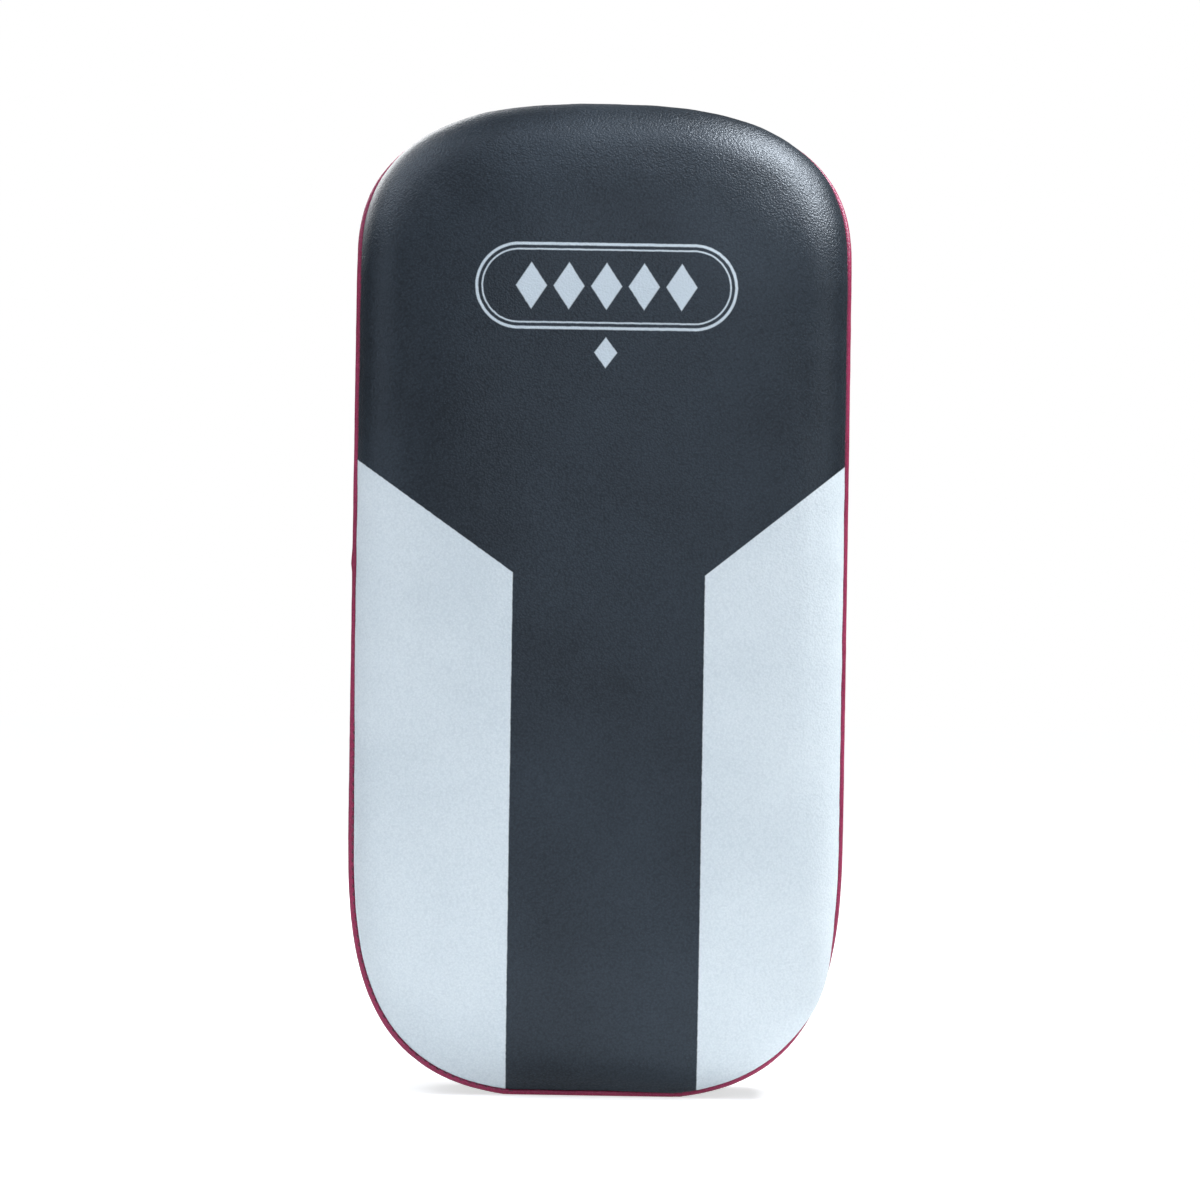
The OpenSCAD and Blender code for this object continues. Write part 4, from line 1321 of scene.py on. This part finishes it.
def handle_patches():
    for end, x in (("left", -72.0), ("right", 72.0)):
        piece = leather_patch(f"handle_patch_{end}", 38.0, 44.0, 6.0, x, GRIP_Z,
                              BACK_Y + 0.1, PATCH_T)
        dress(piece, STRAP_LEATHER, "pad", ["handle_patches"])
        line = rounded_line(33.0, 39.0, 3.6, x, GRIP_Z, BACK_Y + 8.0)
        row = sewn_on(f"handle_patch_{end}_stitches", piece, line, 3.6, closed=True,
                      aim=(0, -1, 0))
        dress(row, BLACK_THREAD, "pad")


# ---------------------------------------------------------------- straps
STRAP_W = 48.0
STRAP_T = 3.6
TAIL_OFF = 7.4
FOLD_R = 5.4
LEAN = 105.0
TAB_BAR = np.array([66.0, BACK_Y + 4.4])
RING_DIR = np.array([math.cos(math.radians(LEAN)), math.sin(math.radians(LEAN))])
RING_OUT = np.array([RING_DIR[1], -RING_DIR[0]])
STRAP_BAR = TAB_BAR + 21.0 * RING_DIR
STRAP_END = STRAP_BAR - FOLD_R * RING_OUT
ARCH_TOP = np.array([-2.0, BACK_Y + 76.0])
ARCH_LEFT = np.array([-59.0, BACK_Y + 34.0])
ANCHOR_Y = BACK_Y + 0.2 + PATCH_T + STRAP_T / 2


def arch():
    return chain(
        bezier([ARCH_LEFT, (-55.5, BACK_Y + 56), (-32, ARCH_TOP[1]), ARCH_TOP], 60),
        bezier([ARCH_TOP, (30, ARCH_TOP[1]), STRAP_END + 24 * RING_DIR, STRAP_END], 70))


def offset(line, by):
    return line + left_of(line) * np.broadcast_to(by, (len(line),))[:, None]


def cut(line, first, last):
    """The stretch of a line between two shares of its length."""
    even = even_line(line, 0.25)
    return even_line(even[int(first * len(even)):int(last * len(even))], 2.0)


def tail_width(run, length):
    """Square at the ring, and round at the free end."""
    left = max(length - run, 0.0)
    half = (STRAP_W - 2.0) / 2
    if left >= half:
        return 2 * half
    return 2 * math.sqrt(max(half * half - (half - left) ** 2, 0.0)) + 0.6


def strap(label, z):
    over = arch()
    rise = bezier([(-74, ANCHOR_Y), (-61, ANCHOR_Y), (-61.5, BACK_Y + 18), ARCH_LEFT],
                  30)
    under_bar = arc(STRAP_BAR, FOLD_R, LEAN + 90, LEAN + 180, 16)
    beyond_bar = arc(STRAP_BAR, FOLD_R, LEAN + 180, LEAN + 270, 16)
    body = even_line(chain([(-89.0, ANCHOR_Y)], rise, over, under_bar), 1.6)
    piece = band(f"{label}_band", body, z, STRAP_W, STRAP_T, seed=1)
    dress(piece, STRAP_LEATHER, "pad", [f"{label}_strap"])
    row = edge_stitches(f"{label}_band_stitches", body, z, STRAP_W, STRAP_T, 1,
                        first=3.0, last=14.0)
    dress(row, BLACK_THREAD, "pad")
    row = box_stitches(f"{label}_anchor_box", -81.5, ANCHOR_Y + STRAP_T / 2 - 0.05, z,
                       11.0, 40.0)
    dress(row, BLACK_THREAD, "pad")

    # The lining: a padded cloth strip on the arm's side of the arch.
    inner = offset(cut(over, 0.02, 0.93), -(STRAP_T + 3.0) / 2 - 0.2)
    piece = band(f"{label}_arm_lining", inner, z, STRAP_W - 4.0, 3.2, crown=0.45)
    dress(piece, LINING_CLOTH, "pad", [f"{label}_lining"])

    # The loop tape on the outside of the arch.
    outer = offset(cut(over, 0.09, 0.80), (STRAP_T + 1.6) / 2 + 0.15)
    piece = band(f"{label}_loop_tape", outer, z, STRAP_W - 11.0, 1.3)
    dress(piece, LOOP_TAPE, "pad", [f"{label}_loop_patch"])
    row = edge_stitches(f"{label}_loop_stitches", outer, z, STRAP_W - 11.0, 1.5, 1,
                        margin=2.0)
    dress(row, BLACK_THREAD, "pad")

    # The tail: it comes up from under the bar, then lies on the loop tape.
    even = even_line(over, 0.25)
    stop = int(0.452 * len(even))
    back = even[stop:][::-1]
    n = left_of(even)[stop:][::-1]
    run = np.arange(len(back)) * 0.25
    shift = 2 * FOLD_R + (TAIL_OFF - 2 * FOLD_R) * smooth(run / 40.0)
    lay = back + n * shift[:, None]
    whole = even_line(chain(beyond_bar, lay[4:]), 1.6)
    body_name = f"{label}_tail_body"
    piece = band(f"{label}_pull_tail", whole, z, tail_width, STRAP_T, seed=2)
    dress(piece, STRAP_LEATHER, None, [f"{label}_tail"])
    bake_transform(piece)
    row = edge_stitches(f"{label}_tail_stitches", whole, z, tail_width, STRAP_T, -1,
                        first=12.0, last=1.0)
    dress(row, BLACK_THREAD, None)
    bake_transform(row)
    grip_part = lay[int(44.0 / 0.25):-int(5.0 / 0.25)]
    hooks = offset(even_line(grip_part, 2.0), (STRAP_T + 1.6) / 2 + 0.15)

    def hook_width(at, length):
        return min(STRAP_W - 12.0, tail_width(at, length + 2.0) - 6.0)

    piece = band(f"{label}_hook_tape", hooks, z, hook_width, 1.2)
    dress(piece, HOOK_TAPE, body_name, [f"{label}_hook_patch"])

    # The tab that holds the ring, folded round the ring's bar.
    low_y = BACK_Y + 0.1 + 1.0
    top_y = low_y + 2.1
    tab = chain([(89, low_y), (74, low_y)], arc(TAB_BAR, 3.3, 270, 90, 24),
                bezier([TAB_BAR + (0, 3.3), TAB_BAR + (6, 3.3), (73, top_y),
                        (79, top_y)], 16), [(89, top_y)])
    piece = band(f"{label}_ring_loop", even_line(tab, 1.0), z, STRAP_W - 2.0, 1.9)
    dress(piece, WEBBING, "pad", [f"{label}_ring_tab"])
    row = box_stitches(f"{label}_ring_box", 82.5, top_y + 0.9, z, 9.0, 38.0)
    dress(row, BLACK_THREAD, "pad")

    piece = leather_patch(f"{label}_anchor_plate", 28.0, STRAP_W + 8.0, 5.0, -77.0, z,
                          BACK_Y + 0.1, PATCH_T)
    dress(piece, STRAP_LEATHER, "pad", [f"{label}_anchor_patch"])
    line = rounded_line(23.6, STRAP_W + 3.6, 3.0, -77.0, z, BACK_Y + 8.0)
    row = sewn_on(f"{label}_plate_stitches", piece, line, 3.6, closed=True,
                  aim=(0, -1, 0))
    dress(row, BLACK_THREAD, "pad")


# ---------------------------------------------------------------- build
strike_pad()
piping("front_welt", "front_piping", SEAM_Y, SEAM_DROP)
piping("back_welt", "back_piping", BACK_SEAM_Y, BACK_DROP)
piping_stitches("front_welt_stitches", SEAM_Y, SEAM_DROP, -1)
piping_stitches("back_welt_stitches", BACK_SEAM_Y, BACK_DROP, 1)
gusset()
back_cover()
cushion("knuckle_cushion", "knuckle_pad", [], 4.0)
cushion("forearm_cushion", "forearm_pad", [-17.0, 17.0], 4.0)
flange("knuckle_flange", "knuckle_pad", 5.0, 17.0)
flange("forearm_flange", "forearm_pad", 5.0, 21.0)
grip()
handle_patches()
for strap_label in ("upper", "lower"):
    strap_box = node_box(f"{strap_label}_strap")
    strap(strap_label, (strap_box[0][2] + strap_box[1][2]) / 2)

for cad_node, finish in {
    "impact_foam": DENSE_FOAM, "core_foam": SOFT_FOAM, "rear_foam": DENSE_FOAM,
    "handle_foam": DENSE_FOAM, "back_board": LEATHERBOARD, "vent_eyelets": NICKEL,
    "handle_rivets": NICKEL, "upper_rivets": NICKEL, "lower_rivets": NICKEL,
    "upper_ring": NICKEL, "lower_ring": NICKEL,
}.items():
    cad_piece = frame["nodes"][cad_node]
    cad_piece.data.materials.clear()
    cad_piece.data.materials.append(finish)


# ---------------------------------------------------------------- studio
def studio():
    bpy.ops.object.select_all(action="DESELECT")
    bpy.ops.mesh.primitive_circle_add(vertices=96, radius=8.0, fill_type="NGON",
                                      location=(0.0, 0.0, -0.0004))
    floor = bpy.context.object
    floor.name = "studio_floor"
    settle(floor)
    material, tree, shader = start_material("matte_white_paper_painted_glow")
    places = add(tree, "ShaderNodeTexCoord").outputs["Object"]
    tooth = add(tree, "ShaderNodeTexNoise", {"Vector": places, "Scale": 900.0}).outputs[0]
    bump = add(tree, "ShaderNodeBump", {"Height": tooth, "Strength": 0.05,
                                        "Distance": 0.0002})
    tree.links.new(bump.outputs[0], shader.inputs["Normal"])
    shader.inputs["Base Color"].default_value = colour("#d4d6d8")
    shader.inputs["Roughness"].default_value = 0.9
    shader.inputs["Specular IOR Level"].default_value = 0.1
    # The paper glows, as painted light. To the camera it is evenly white from afar and
    # glows less close to the pad, as a painted shade round it; to other rays it glows
    # most close to the pad, and lights the pad's lower part with painted light.
    away = add(tree, "ShaderNodeVectorMath", {0: places}, operation="LENGTH").outputs[1]
    glow = add(tree, "ShaderNodeMapRange", {0: away, 1: 0.25, 2: 1.6, 3: 0.66, 4: 0.92},
               interpolation_type="SMOOTHSTEP").outputs[0]
    seen = add(tree, "ShaderNodeLightPath").outputs["Is Camera Ray"]
    thrown = add(tree, "ShaderNodeMapRange", {0: away, 1: 0.25, 2: 1.1, 3: 0.42, 4: 0.05},
                 interpolation_type="SMOOTHSTEP").outputs[0]
    glow = add(tree, "ShaderNodeMix", {0: seen, 2: thrown, 3: glow}).outputs[0]
    shader.inputs["Emission Color"].default_value = (1.0, 1.0, 1.0, 1.0)
    tree.links.new(glow, shader.inputs["Emission Strength"])
    floor.data.materials.append(material)

    world = bpy.data.worlds.new("studio")
    scene.world = world
    world.use_nodes = True
    tree = world.node_tree
    tree.nodes.clear()
    seen = add(tree, "ShaderNodeLightPath").outputs["Is Camera Ray"]
    light = add(tree, "ShaderNodeBackground", {"Color": colour("#e6edf5"),
                                               "Strength": 0.14})
    paper = add(tree, "ShaderNodeBackground", {"Color": (1.0, 1.0, 1.0, 1.0),
                                               "Strength": 1.0})
    mix = add(tree, "ShaderNodeMixShader", {0: seen, 1: light.outputs[0],
                                            2: paper.outputs[0]})
    add(tree, "ShaderNodeOutputWorld", {0: mix.outputs[0]})

    lamps = [
        # name, place, aim, width, height, power, colour
        ("top_right_softbox", (0.62, 0.0, 1.2), (0.05, -0.06, 0.37), 0.2, 0.42, 21.0,
         "#ffffff"),
        ("top_left_softbox", (-0.75, 0.0, 1.1), (-0.06, -0.06, 0.37), 0.3, 0.35, 3.0,
         "#f4f8ff"),
        ("right_softbox", (1.35, -1.05, 0.75), (0.0, -0.08, 0.2), 0.6, 0.9, 5.0,
         "#ffffff"),
        ("left_softbox", (-1.3, -1.0, 0.7), (0.0, -0.08, 0.2), 0.6, 0.9, 4.8,
         "#f2f7ff"),
        ("front_strip", (0.2, -2.4, 1.0), (0.0, -0.08, 0.26), 0.2, 0.7, 12.0,
         "#f6f9ff"),
        ("overhead_softbox", (0.15, -0.45, 1.5), (0.0, -0.07, 0.36), 1.1, 0.7, 7.0,
         "#eef5ff"),
        ("back_softbox", (-0.9, 1.7, 1.3), (0.0, 0.03, 0.2), 1.2, 1.0, 26.0, "#ffffff"),
    ]
    for name, place, aim, width, height, power, code in lamps:
        data = bpy.data.lights.new(name, "AREA")
        data.shape = "RECTANGLE"
        data.size = width
        data.size_y = height
        data.energy = power
        data.color = colour(code)[:3]
        lamp = bpy.data.objects.new(name, data)
        scene.collection.objects.link(lamp)
        lamp.visible_camera = False
        lamp.location = place
        lamp.rotation_euler = (Vector(aim) - Vector(place)).to_track_quat(
            "-Z", "Y").to_euler()
    scene.view_settings.view_transform = "Standard"
    scene.view_settings.look = "None"


studio()
